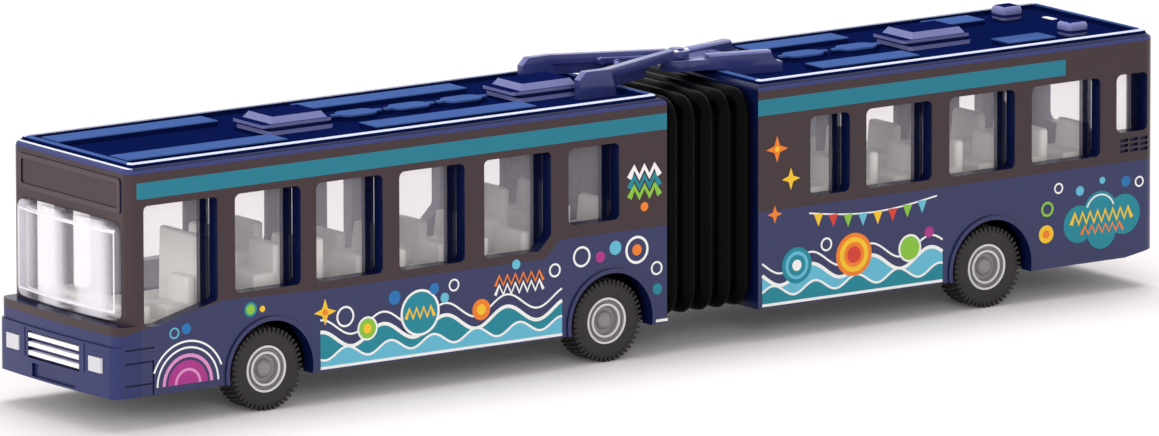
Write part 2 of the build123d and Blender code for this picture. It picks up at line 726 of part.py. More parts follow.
for name, side in (("tail_lamp_left", 1), ("tail_lamp_right", -1)):
    with BuildPart() as lamp:
        half = rear_lamp_width / 2 - fit_gap
        y_low, y_high = sorted((side * rear_lamp_y - half, side * rear_lamp_y + half))
        add(block(rear_x + 0.05, rear_x + rear_lamp_depth - seat_gap, y_low, y_high,
                  rear_lamp_low_z + fit_gap, rear_lamp_high_z - fit_gap))
    save(lamp.part, name)

# Rear roof moulding with two round-cornered boxes at its end
with BuildPart() as rear_roof:
    add(roof_moulding(rear_x, rear_start_x, rear_strips, rear_vents))
    with BuildSketch(Plane.XY.offset(roof_floor_z)):
        with Locations((roof_box_x, roof_box_y), (roof_box_x, -roof_box_y)):
            RectangleRounded(roof_box_length, roof_box_width, 0.9)
    extrude(amount=roof_box_top_z - roof_floor_z)
save(rear_roof.part, "rear_roof")

with BuildPart() as rear_glazing:
    x_low = rear_x + end_wall + fit_gap
    x_high = rear_start_x - end_wall - fit_gap
    add(block(x_low, x_high, -glass_y, glass_y, glazing_low_z, glazing_high_z))
    add(block(x_low + glass, x_high + 1.0, -glass_y + glass, glass_y - glass,
              glazing_low_z - 1.0, glazing_high_z - glass), mode=Mode.SUBTRACT)
save(rear_glazing.part, "rear_glazing")

with BuildPart() as rear_interior:
    add(block(rear_x + end_wall + 2 * fit_gap + glass, rear_start_x - end_wall - fit_gap, -tray_y, tray_y,
              tray_low_z, tray_top_z))
    for x in rear_seat_xs:
        for side in (1, -1):
            add(seat_pair(x, side))
save(rear_interior.part, "rear_interior")

# Rear base with its tongue under the front one, with the pin's hole
rear_root_x = rear_start_x - end_wall - fit_gap
with BuildPart() as rear_base:
    add(base_plate(rear_x, rear_start_x, [axles[2][1]], rear_post_xs, rear_reliefs))
    add(block(rear_root_x - tongue_root, pivot_x, -tongue_half_width, tongue_half_width,
              tongue_low_z, tongue_low_z + tongue_thickness))
    add(block(rear_root_x - tongue_root, rear_root_x, -tongue_half_width, tongue_half_width,
              base_low_z, tongue_low_z + tongue_thickness))
    with BuildSketch(Plane.XY.offset(tongue_low_z)):
        with Locations((pivot_x, 0)):
            Circle(tongue_half_width)
    extrude(amount=tongue_thickness)
    with BuildSketch(Plane.XY.offset(tongue_low_z - 1.0)):
        with Locations((pivot_x, 0)):
            Circle(pin_r + pin_gap)
    extrude(amount=tongue_thickness + 2.0, mode=Mode.SUBTRACT)
save(rear_base.part, "rear_base")

# Bellows: one soft tube whose section swells at each pleat
bellows_front_x = front_end_x - bellows_gap
bellows_rear_x = rear_start_x + bellows_gap
pleat = (bellows_front_x - bellows_rear_x) / bellows_pleats
bellows_mid_z = (bellows_top_z + bellows_low_z) / 2
with BuildPart() as bellows:
    for i in range(2 * bellows_pleats + 1):
        inset = bellows_valley if i % 2 == 0 else 0.0
        with BuildSketch(Plane.YZ.offset(bellows_rear_x + i * pleat / 2)):
            with Locations((0, bellows_mid_z)):
                RectangleRounded(2 * (bellows_ridge_half_width - inset),
                                 bellows_top_z - bellows_low_z - 2 * inset, bellows_corner_r - inset * 0.5)
    loft(ruled=True)
    with BuildSketch(Plane.YZ.offset(bellows_rear_x - 1.0)):
        with Locations((0, bellows_mid_z)):
            RectangleRounded(2 * (bellows_ridge_half_width - bellows_valley - bellows_wall),
                             bellows_top_z - bellows_low_z - 2 * (bellows_valley + bellows_wall), 1.5)
    extrude(amount=bellows_front_x - bellows_rear_x + 2.0, mode=Mode.SUBTRACT)
save(bellows.part, "bellows")


def arm_plane(start, end, side):
    """Upright plane along a bar: x runs from start to end, y is up."""
    return Plane(origin=(start[0], side * start[1], 0),
                 x_dir=(end[0] - start[0], side * (end[1] - start[1]), 0),
                 z_dir=(side * (end[1] - start[1]), start[0] - end[0], 0))


def upright_bar(plane, low, high, z_low, z_high, thickness, offset):
    """Bar on an upright plane, from low to high along it, moved sideways by offset."""
    with BuildPart(mode=Mode.PRIVATE) as bar:
        with BuildSketch(plane.offset(offset - thickness / 2)):
            with Locations(((low + high) / 2, (z_low + z_high) / 2)):
                Rectangle(high - low, z_high - z_low)
        extrude(amount=thickness)
    return bar.part


# Roof arms of the front section: on each side a foot, a main bar to the knuckle over the hinge, a second
# bar beside it on a shallow web, and small round bosses where the bars are pinned
with BuildPart() as front_roof_arms:
    for side in (1, -1):
        start = (arm_foot_x + 0.5, arm_front_y)
        along = arm_plane(start, (pivot_x, 0), side)
        reach = hypot(start[0] - pivot_x, start[1])
        outward = -side * (arm_thickness / 2 + flange_gap + flange_thickness / 2)
        with BuildSketch(Plane.XZ.offset(-side * arm_front_y - arm_thickness / 2)):
            with BuildLine():
                Polyline((arm_front_x, roof_floor_z + seat_gap), (arm_front_x, arm_top_z - arm_nose),
                         (arm_front_x - arm_nose, arm_top_z), (arm_foot_x, arm_top_z),
                         (arm_foot_x - arm_nose, roof_floor_z + seat_gap), close=True)
            make_face()
        extrude(amount=arm_thickness)
        add(upright_bar(along, 0, reach, arm_low_z, arm_top_z, arm_thickness, 0))
        add(upright_bar(along, flange_start * reach, flange_end * reach, arm_low_z,
                        arm_top_z - flange_drop, flange_thickness, outward))
        add(upright_bar(along, 0, web_end * reach, arm_low_z - web_height, arm_low_z, web_thickness, 0))
        add(upright_bar(along, flange_start * reach, flange_end * reach, arm_low_z,
                        arm_low_z + flange_drop, abs(outward), outward / 2))
        for share, z in ((flange_start, arm_top_z - flange_drop), (flange_start + 0.12, arm_low_z + 0.4)):
            with BuildSketch(along.offset(outward - side * flange_thickness / 2)):
                with Locations((share * reach + boss_r, z - boss_r * 0.6)):
                    Circle(boss_r)
            extrude(amount=-side * boss_length)
    with BuildSketch(Plane.XY.offset(knuckle_low_z)):
        with Locations((pivot_x, 0)):
            Circle(knuckle_r)
    extrude(amount=knuckle_thickness)
    with BuildSketch(Plane.XY.offset(knuckle_top_z)):
        with Locations((pivot_x, 0)):
            Circle(button_r)
    extrude(amount=button_height)
    with BuildSketch(Plane.XY.offset(bracket_low_z)):
        with Locations((pivot_x, 0)):
            Circle(pin_r)
    extrude(amount=knuckle_low_z - bracket_low_z)
save(front_roof_arms.part, "front_roof_arms")

# Roof arms of the rear section: a bracket with the eye, and two thick ribs with rounded ends that run back
# over the roof
with BuildPart() as rear_roof_arms:
    bracket_end_x = rear_start_x - bracket_back
    with BuildSketch(Plane.XY.offset(bracket_low_z)) as bracket:
        with BuildLine():
            Polyline((pivot_x, -bracket_nose), (bracket_end_x, -bracket_half_width),
                     (bracket_end_x, bracket_half_width), (pivot_x, bracket_nose), close=True)
        make_face()
        fillet(bracket.vertices().group_by(Axis.X)[0], bracket_corner_r)
        with Locations((pivot_x, 0)):
            Circle(bracket_nose)
    extrude(amount=eye_thickness)
    with BuildSketch(Plane.XY.offset(roof_floor_z + seat_gap)):
        with Locations((rear_start_x - foot_start - foot_length / 2, 0)):
            Rectangle(foot_length, 2 * rib_start_y)
    extrude(amount=eye_top_z - roof_floor_z - seat_gap)
    for side in (1, -1):
        start = (rear_start_x + rib_start, rib_start_y)
        along = arm_plane(start, (rear_arm_x, rear_arm_y), side)
        reach = hypot(start[0] - rear_arm_x, rear_arm_y - start[1])
        step = (foot_start + rib_start) * reach / (start[0] - rear_arm_x)
        floor_z = roof_floor_z + seat_gap
        with BuildPart(mode=Mode.PRIVATE) as rib:
            with BuildSketch(along.offset(-rib_thickness / 2)):
                with BuildLine():
                    Polyline((reach - rib_end_r, rib_top_z), (0, rib_top_z), (0, bracket_low_z),
                             (step, bracket_low_z), (step, floor_z), (reach, floor_z),
                             (reach, rib_top_z - rib_end_r))
                    RadiusArc((reach, rib_top_z - rib_end_r), (reach - rib_end_r, rib_top_z), rib_end_r)
                make_face()
            extrude(amount=rib_thickness)
            fillet(rib.edges().filter_by(lambda e: e.center().Z > rib_top_z - rib_end_r * 0.7
                                         and e.length > rib_thickness), rib_edge_r)
        add(rib.part)
    with BuildSketch(Plane.XY.offset(bracket_low_z - 1.0)):
        with Locations((pivot_x, 0)):
            Circle(pin_r + pin_gap)
    extrude(amount=eye_thickness + 1.5, mode=Mode.SUBTRACT)
save(rear_roof_arms.part, "rear_roof_arms")

# Axles with their wheels: a steel rod, two rims pressed on it and two tyres
for name, x in axles:
    with BuildPart() as axle:
        add(across(x, axle_z, axle_r, -axle_end_y, axle_end_y))
    save(axle.part, name + "_axle")
    for hand, side in (("left", 1), ("right", -1)):
        wheel_plane = Plane(origin=(x, 0, axle_z), x_dir=(0, side, 0), z_dir=(1, 0, 0))
        with BuildPart() as rim:
            with BuildSketch(wheel_plane):
                with BuildLine():
                    Polyline((hub_inner_y, 0), (hub_inner_y, hub_r + 0.4),
                             (tyre_outer_y - tyre_width + 0.6, hub_r + 0.4),
                             (tyre_outer_y - tyre_width + 0.6, rim_r - fit_gap / 2),
                             (rim_outer_y, rim_r - fit_gap / 2), (rim_outer_y, rim_r - 0.45),
                             (rim_outer_y - 0.4, rim_r - 0.5), (rim_outer_y - 0.4, rim_ring_r + 0.1),
                             (rim_outer_y - 0.1, rim_ring_r), (rim_outer_y - 0.1, rim_ring_in_r),
                             (rim_outer_y - rim_dish_depth, rim_ring_in_r - 0.25),
                             (rim_outer_y - rim_dish_depth, hub_r), (rim_outer_y - 0.3, hub_r - 0.15),
                             (rim_outer_y, hub_r * 0.5), (rim_outer_y, 0), close=True)
                make_face()
            revolve(axis=Axis((x, 0, axle_z), (0, 1, 0)))
            add(across(x, axle_z, axle_r + 0.01, -axle_end_y - 0.05, axle_end_y + 0.05), mode=Mode.SUBTRACT)
        save(rim.part, name + "_" + hand + "_rim")
        with BuildPart() as tyre:
            with BuildSketch(wheel_plane) as section:
                with Locations((tyre_outer_y - tyre_width / 2, (tyre_r + tyre_bore_r) / 2)):
                    Rectangle(tyre_width, tyre_r - tyre_bore_r)
                fillet(section.vertices().group_by(Axis.Z)[-1], tyre_shoulder_r)
            revolve(axis=Axis((x, 0, axle_z), (0, 1, 0)))
        save(tyre.part, name + "_" + hand + "_tyre")
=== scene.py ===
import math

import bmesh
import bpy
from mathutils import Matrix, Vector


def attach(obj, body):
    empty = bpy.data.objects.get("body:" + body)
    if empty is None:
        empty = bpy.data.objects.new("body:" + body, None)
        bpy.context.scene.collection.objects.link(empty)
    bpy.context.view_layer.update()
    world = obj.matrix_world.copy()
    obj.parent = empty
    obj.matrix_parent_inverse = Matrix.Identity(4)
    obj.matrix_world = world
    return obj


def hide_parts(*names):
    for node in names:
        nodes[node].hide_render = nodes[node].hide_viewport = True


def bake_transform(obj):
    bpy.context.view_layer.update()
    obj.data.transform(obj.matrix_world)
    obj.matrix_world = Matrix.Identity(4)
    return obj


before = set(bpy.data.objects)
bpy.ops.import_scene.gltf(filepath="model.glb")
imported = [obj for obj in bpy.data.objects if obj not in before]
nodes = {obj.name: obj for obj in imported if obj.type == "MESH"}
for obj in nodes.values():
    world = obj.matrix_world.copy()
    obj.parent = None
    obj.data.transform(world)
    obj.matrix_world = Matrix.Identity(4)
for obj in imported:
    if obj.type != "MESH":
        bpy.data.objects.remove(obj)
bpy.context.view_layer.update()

# %% [markdown]
# # A small articulated bus, dressed for the camera
#
# The bus is a die-cast toy about as long as a hand: two hollow metal shells with clear glazing, joined by a
# soft pleated bellows. Its solids come from the CAD model as a fixed frame, and this lesson gives them their
# finishes. What is soft or finely moulded is made again here: the tyres, the wheel faces, the bellows, the
# seats, the rear roof with its covers, the arms over the joint, and the prints on the sides.
#
# Every size below is written in millimetres of the toy, and turned to metres where a mesh or a node takes it.

MM = 0.001
scene = bpy.context.scene


def paint(code):
    """A colour written as sRGB hex, in the linear values that shaders use."""
    parts = [int(code[i:i + 2], 16) / 255 for i in (1, 3, 5)]
    return tuple(c / 12.92 if c <= 0.04045 else ((c + 0.055) / 1.055) ** 2.4 for c in parts) + (1.0,)


def node(tree, kind, settings):
    """Adds one node. Lower-case names are its properties. Other names and numbers are its inputs, and each
    takes a value or the output of another node."""
    made = tree.nodes.new(kind)
    properties = [key for key in settings if isinstance(key, str) and key.islower()]
    for key in properties:
        setattr(made, key, settings[key])
    for key, value in settings.items():
        if key in properties:
            continue
        if isinstance(value, bpy.types.NodeSocket):
            tree.links.new(value, made.inputs[key])
        else:
            made.inputs[key].default_value = value
    return made


def linked(name, data):
    """Puts new data into the scene as an object at the origin."""
    obj = bpy.data.objects.new(name, data)
    scene.collection.objects.link(obj)
    return obj


# %% [markdown]
# ## How a finish is put together
#
# A real surface is never one flat colour. Enamel has a faint orange peel, moulded plastic keeps the fine
# texture of its tool, and rubber is dull and slightly uneven. Each finish here starts from the material's
# usual IOR and roughness, and gets a grain whose size is a real length: noise on Object coordinates, which
# stay with the piece in every pose, has about one bump for each 1 / scale metres. A second, wide noise
# changes the gloss a little, as handling does.

# %% A base finish with a measured grain
BUMP_STRENGTH = 0.6
# The gloss changes about once for each fingertip's width
HANDLED_MM = 8.33


def feed(material, name, socket):
    """Links a pattern to one input of the material's shader."""
    tree = material.node_tree
    tree.links.new(socket, tree.nodes["Principled BSDF"].inputs[name])


def finish(name, code, roughness, grain_mm, depth_mm, metallic=0.0, ior=1.5, coat=0.0, spread=0.0, shine=0.3):
    """One Principled material: colour, roughness that wanders a little, and a bump of the given grain."""
    material = bpy.data.materials.new(name)
    material.use_nodes = True
    tree = material.node_tree
    shader = tree.nodes["Principled BSDF"]
    uniform = {"Base Color": paint(code), "Metallic": metallic, "IOR": ior, "Coat Weight": coat,
               "Specular IOR Level": shine}
    for key, value in uniform.items():
        shader.inputs[key].default_value = value
    place = node(tree, "ShaderNodeTexCoord", {}).outputs["Object"]
    grain = node(tree, "ShaderNodeTexNoise", {"Scale": 1 / (grain_mm * MM), "Detail": 3.0, "Vector": place})
    bump = node(tree, "ShaderNodeBump", {"Strength": BUMP_STRENGTH, "Distance": depth_mm * MM,
                                         "Height": grain.outputs["Fac"]})
    feed(material, "Normal", bump.outputs["Normal"])
    handled = node(tree, "ShaderNodeTexNoise", {"Scale": 1 / (HANDLED_MM * MM), "Detail": 2.0,
                                                "Vector": place})
    gloss = node(tree, "ShaderNodeMapRange", {"To Min": roughness - spread, "To Max": roughness + spread,
                                              "Value": handled.outputs["Fac"]})
    feed(material, "Roughness", gloss.outputs["Result"])
    return material


# Injection-moulded in a polished mould: an even pale satin that lights the inside of the bus
IVORY = finish("moulded ivory polystyrene", "#fbf7ee", 0.42, 0.5, 0.004, ior=1.59, spread=0.06)
# Moulded in a spark-eroded mould: fine pits spread the light, so that the base stays a dull black
BLACK = finish("spark-textured black ABS", "#161618", 0.5, 0.15, 0.012, ior=1.54, spread=0.08, shine=0.2)
# Turned and barrel-plated: each dome is a small bright mirror
NICKEL = finish("nickel-plated steel pins", "#f2f3f6", 0.2, 0.9, 0.004, metallic=1.0, spread=0.05, shine=0.5)
# Pad-printed with a pale metallic ink: bright without being a mirror
SILVER = finish("silver tampo print on ABS", "#f4f4f6", 0.3, 0.7, 0.004, spread=0.05, shine=0.6)
# Brushed on thick: a wet, deep red
RED = finish("red lamp lacquer", "#a01418", 0.22, 0.6, 0.004, coat=0.5, spread=0.05)
# Dip-moulded: nearly black, with one soft line of light along each pleat
VINYL = finish("soft black PVC bellows", "#020202", 0.32, 0.35, 0.012, ior=1.53, spread=0.06, shine=0.045)
# Drawn through a die: a soft streak of light along the rod
STEEL = finish("drawn steel rod", "#b9bcc0", 0.28, 0.12, 0.004, metallic=1.0, spread=0.08, shine=0.5)
# Moulded light grey, with a painted highlight on the raised rings: pale circles on a grey face
RING_HIGHLIGHT = finish("light grey ABS rings with a painted highlight", "#dcdadc", 0.3, 0.4, 0.004, ior=1.54, spread=0.06, shine=0.5)
# Injection-moulded: a mid grey with soft light on each step of the wheel
WHEEL = finish("light grey moulded ABS", "#8b8789", 0.34, 0.4, 0.005, ior=1.54, spread=0.06, shine=0.5)
# Pressed in a hot mould: dull and dark, greyer where the lugs face the light
RUBBER = finish("moulded black rubber", "#2a2628", 0.55, 0.2, 0.014, ior=1.52, spread=0.1, shine=0.35)
print("plain finishes:", len(bpy.data.materials))

# %% [markdown]
# ## Masks and layers of colour
#
# Several pieces carry more than one colour, always by a rule: what lies above a height, between two places or
# on the faces that look outwards. A mask says where the rule holds, as 1 or 0. Masks are joined by MULTIPLY
# where all of them have to hold, and by MAXIMUM where one is enough. Then one colour is laid over another.

# %% Helpers for masks
def reckon(tree, operation, first, *others):
    """Works through one or more values, each a socket or a number, with one operation."""
    result = first
    for value in others or (0.0,):
        result = node(tree, "ShaderNodeMath", {"operation": operation, 0: result, 1: value}).outputs[0]
    return result


def between(tree, value, low, high):
    """1 where the value lies between low and high."""
    over = reckon(tree, "GREATER_THAN", value, low)
    return reckon(tree, "MULTIPLY", over, reckon(tree, "LESS_THAN", value, high))


def in_mm(tree):
    """Object coordinates in millimetres, as x, distance from the middle plane, and height."""
    place = node(tree, "ShaderNodeTexCoord", {}).outputs["Object"]
    scaled = node(tree, "ShaderNodeVectorMath", {"operation": "SCALE", "Scale": 1 / MM, 0: place})
    parts = node(tree, "ShaderNodeSeparateXYZ", {0: scaled.outputs[0]}).outputs
    return parts["X"], reckon(tree, "ABSOLUTE", parts["Y"]), parts["Z"]


def way_faced(tree):
    """Which way the flat face points, as x, y and z."""
    normal = node(tree, "ShaderNodeNewGeometry", {}).outputs["True Normal"]
    return node(tree, "ShaderNodeSeparateXYZ", {0: normal}).outputs


def cloud(tree, width_mm):
    """A soft uneven share, for thin ink and for the painted highlight on the linkage tops, that changes about
    once in its width.
    """
    settings = {"Scale": 1 / (width_mm * MM), "Detail": 2.0,
                "Vector": node(tree, "ShaderNodeTexCoord", {}).outputs["Object"]}
    return node(tree, "ShaderNodeTexNoise", settings).outputs["Fac"]


def layer(tree, under, mask, code):
    """Lays one colour over another where the mask is 1."""
    lower = paint(under) if isinstance(under, str) else under
    return node(tree, "ShaderNodeMix", {"data_type": "RGBA", 0: mask, 6: lower, 7: paint(code)}).outputs[2]


print("one colour of the roof, linear:", [round(c, 3) for c in paint("#45609c")[:3]])

# %% [markdown]
# ## The printed enamel of the shells
#
# The shells are zinc castings sprayed dark navy. The outer faces are then pad-printed: a brown band round
# the windows, a teal stripe under the roof edge and a lighter blue below. The print reaches only what the
# pad touches, so window jambs and inner walls stay dark navy. The shader does the same: it looks at which
# way a face points, and the height and place along the bus choose the colour.

# %% Enamel with its printed bands
NAVY = "#0c1540"
# The pad touches faces beyond these places that look outwards by more than OUTWARD
PRINT_OFF, PRINT_FRONT, PRINT_BACK, OUTWARD = 14.3, 84.9, -88.0, 0.3
# The band's lower edge is level along the bus, with a step up at the rear and a slant to the front corner,
# and each change is written as (from x, to x, rise)
BAND_EDGE = 18.5
BAND_CHANGES = ((14.5, 17.0, -2.4), (55.0, 71.2, 0.5), (71.2, 87.8, -3.2))
STRIPE_X, STRIPE_Z = (-73.8, 85.7), (32.2, 34.5)
NOSE_X = 85.0
PANEL_X, PANEL_Z = 87.1, 29.5
# Heights of the blue band along the roof edge, and of the top lip, which is painted near white as a highlight
EDGE_Z, LIP_HIGHLIGHT_Z = 35.75, 36.42
# The lower blue is a little thinner in places
THIN_MM, THIN_SHARE = 16.67, 0.22


def printed_enamel():
    """Sprayed and stoved enamel: a deep gloss with a faint orange peel, the same over every print."""
    material = finish("printed enamel on zinc casting", NAVY, 0.26, 1.1, 0.006, spread=0.04)
    tree = material.node_tree
    x, off, z = in_mm(tree)
    faced = way_faced(tree)
    on_side = reckon(tree, "MULTIPLY", reckon(tree, "GREATER_THAN", off, PRINT_OFF),
                     reckon(tree, "GREATER_THAN", reckon(tree, "ABSOLUTE", faced["Y"]), OUTWARD))
    on_front = reckon(tree, "MULTIPLY", reckon(tree, "GREATER_THAN", x, PRINT_FRONT),
                      reckon(tree, "GREATER_THAN", faced["X"], OUTWARD))
    on_back = reckon(tree, "MULTIPLY", reckon(tree, "LESS_THAN", x, PRINT_BACK),
                     reckon(tree, "LESS_THAN", faced["X"], -OUTWARD))
    outer = reckon(tree, "MAXIMUM", on_side, on_front, on_back)
    edge = BAND_EDGE
    for start, end, rise in BAND_CHANGES:
        ramp = node(tree, "ShaderNodeMapRange", {
            "From Min": start, "From Max": end, "To Max": rise, "Value": x})
        edge = reckon(tree, "ADD", ramp.outputs["Result"], edge)
    band = reckon(tree, "GREATER_THAN", z, edge)
    stripe = reckon(tree, "MULTIPLY", between(tree, z, *STRIPE_Z), between(tree, x, *STRIPE_X), on_side)
    panel = reckon(tree, "MULTIPLY", reckon(tree, "GREATER_THAN", x, PANEL_X),
                   reckon(tree, "GREATER_THAN", z, PANEL_Z))
    thin_ink = reckon(tree, "MULTIPLY", cloud(tree, THIN_MM), THIN_SHARE)
    colour = "#32365f"
    for mask, code in ((thin_ink, "#2b2f56"), (reckon(tree, "GREATER_THAN", x, NOSE_X), "#262d60"),
                       (band, "#3b2c30"), (stripe, "#12778c"), (panel, "#4a3b40"),
                       (reckon(tree, "GREATER_THAN", z, EDGE_Z), "#343a72"),
                       # The last layer is a painted highlight along the top lip
                       (reckon(tree, "GREATER_THAN", z, LIP_HIGHLIGHT_Z), "#dddfec")):
        colour = layer(tree, colour, mask, code)
    bare = node(tree, "ShaderNodeMix", {"data_type": "RGBA", 0: outer, 6: paint(NAVY), 7: colour})
    feed(material, "Base Color", bare.outputs[2])
    return material


ENAMEL = printed_enamel()
print("enamel nodes:", len(ENAMEL.node_tree.nodes))

# %% [markdown]
# ## The two-colour roof
#
# The roof is one plastic moulding pressed into each shell. Its floor is dark navy. The raised strips are a
# lighter blue, and the bead round the edge is painted near white as a highlight, so height alone tells the
# colours apart: what stands at the height of the bead is light.

# %% Roof plastic, dark below and light on top
ROOF_NAVY = "#0a1648"
# Raised parts are light; beyond BEAD_OFF from the middle they are the bead, painted near white as a highlight
RAISED_Z, COVER_Z, BEAD_OFF = 36.95, 37.35, 12.4


def rubbed_roof():
    """Moulded satin: the floor swallows the light, the raised strips are lighter, and the bead carries a
    painted highlight.
    """
    material = finish("satin navy ABS with light rubbed tops", ROOF_NAVY, 0.4, 0.8, 0.006, ior=1.54,
                      spread=0.05, shine=0.0)
    tree = material.node_tree
    x, off, z = in_mm(tree)
    raised = reckon(tree, "GREATER_THAN", z, RAISED_Z)
    strips = reckon(tree, "MULTIPLY", raised, reckon(tree, "LESS_THAN", off, BEAD_OFF))
    bead_highlight = reckon(tree, "SUBTRACT", raised, strips)
    colour = layer(tree, ROOF_NAVY, strips, "#45609c")
    # The bead gets a painted highlight: near white
    colour = layer(tree, colour, bead_highlight, "#d3d7ea")
    feed(material, "Base Color", layer(tree, colour, reckon(tree, "GREATER_THAN", z, COVER_Z), "#22357a"))
    return material


ROOF = rubbed_roof()
print("roof nodes:", len(ROOF.node_tree.nodes))

# %% [markdown]
# ## Hatches with a painted highlight on the lip, and the linkage
#
# The three hatches are glossy violet-blue mouldings. The lip and the sloping sides are painted pale as a
# highlight, the groove below the lip is painted dark as shade, and the flat top is as dark as the roof. The
# height of the point and the way its face looks give each its colour. The arms of the linkage are the same
# plastic, navy on their sides, with an uneven painted highlight along their tops.

# %% Hatch and linkage plastic
# Heights of the groove under the lip, which is painted dark as shade
SHADED_GROOVE_Z = (36.9, 37.36)
FLAT_UP, TURNED_UP = 0.95, 0.3
HATCH_SHINE = 0.3
ARM_NAVY = "#363c76"
# The tops of the linkage arms carry an uneven painted highlight, in patches about 2.5 mm wide
TOP_HIGHLIGHT_MM, TOP_HIGHLIGHT_LEAST = 2.5, 0.35


def hatch_plastic():
    """Moulded in a polished mould: gloss on the slopes, a top sparked so dull that it mirrors no room, a
    painted highlight on the sides and painted shade in the groove.
    """
    material = finish("gloss violet-blue ABS", "#5a5f9c", 0.2, 0.6, 0.008, ior=1.54, spread=0.05)
    tree = material.node_tree
    x, off, z = in_mm(tree)
    top = reckon(tree, "GREATER_THAN", way_faced(tree)["Z"], FLAT_UP)
    # Every face but the groove and the flat top is painted pale as a highlight, and the groove is painted
    # dark as shade
    colour = layer(tree, "#7a7db2", between(tree, z, *SHADED_GROOVE_Z), "#20275f")
    feed(material, "Base Color", layer(tree, colour, top, "#0d174c"))
    gloss = reckon(tree, "MULTIPLY", reckon(tree, "SUBTRACT", 1.0, top), HATCH_SHINE)
    feed(material, "Specular IOR Level", gloss)
    return material


def linkage_plastic():
    """Moulded glossy: an uneven painted highlight along each top, over glossy dark sides."""
    material = finish("gloss navy-violet ABS of the linkage", ARM_NAVY, 0.2, 0.6, 0.008, ior=1.54,
                      spread=0.05, shine=0.4)
    tree = material.node_tree
    top = reckon(tree, "GREATER_THAN", way_faced(tree)["Z"], TURNED_UP)
    # The tops carry the painted highlight, uneven in patches
    top_highlight = reckon(tree, "MULTIPLY", top, reckon(tree, "ADD", cloud(tree, TOP_HIGHLIGHT_MM), TOP_HIGHLIGHT_LEAST))
    feed(material, "Base Color", layer(tree, ARM_NAVY, top_highlight, "#7175ad"))
    return material


VIOLET = hatch_plastic()
ARM = linkage_plastic()
print("hatch nodes:", len(VIOLET.node_tree.nodes), "linkage nodes:", len(ARM.node_tree.nodes))

# %% [markdown]
# ## Clear glazing
#
# The panes are one clear polystyrene insert in each section. Such thick moulded panes are never invisible:
# each face adds a milky, slightly violet haze over what lies behind, while the bright floor still shows
# through. Real refraction would only darken the seats, so the pane is a see-through surface with a pale body
# and a sharp gloss. The bowed windscreen is the thickest part. It is painted whiter, with upright bands of
# painted reflection and a painted highlight along its bead. A dark strip of painted shade runs along the rear
# edge of each side pane.

# %% Glazing
PANE_HAZE, PANE_SHINE = 0.13, 0.8
SCREEN_X = 86.9
# Width of a band of painted reflection in the windscreen, and how much flatter the pattern is along the
# height
REFLECTION_BAND_MM, REFLECTION_BAND_HEIGHT = 5.26, 0.04
# The raised bead round the windscreen, as its upright sides, its sill and its head, and the opacity of its
# painted highlight
BEAD_SIDES, BEAD_SILL, BEAD_HEAD, BEAD_GLINT = (11.55, 11.85), (16.1, 16.4), (27.3, 27.6), 0.9
# Where the dark strip of painted shade on each side pane starts, for panes on both sides and for those of the
# near side alone
BOTH_SIDES = (58.4, 44.6, 4.3, -35.7, -64.8, -88.4)
NEAR_SIDE = (72.3, 30.7, 16.0, -50.1, -80.0)
# Width and opacity of the strips of painted shade, and how far from the middle a side pane lies
SHADE_STRIP_WIDTH, SHADE_STRIP_OPACITY, PANE_OFF = 1.5, 0.77, 11.0
# The share of a shadow that a pane doesn't throw, because light passes nearly freely through clear plastic
SHADOW_LOST = 0.85


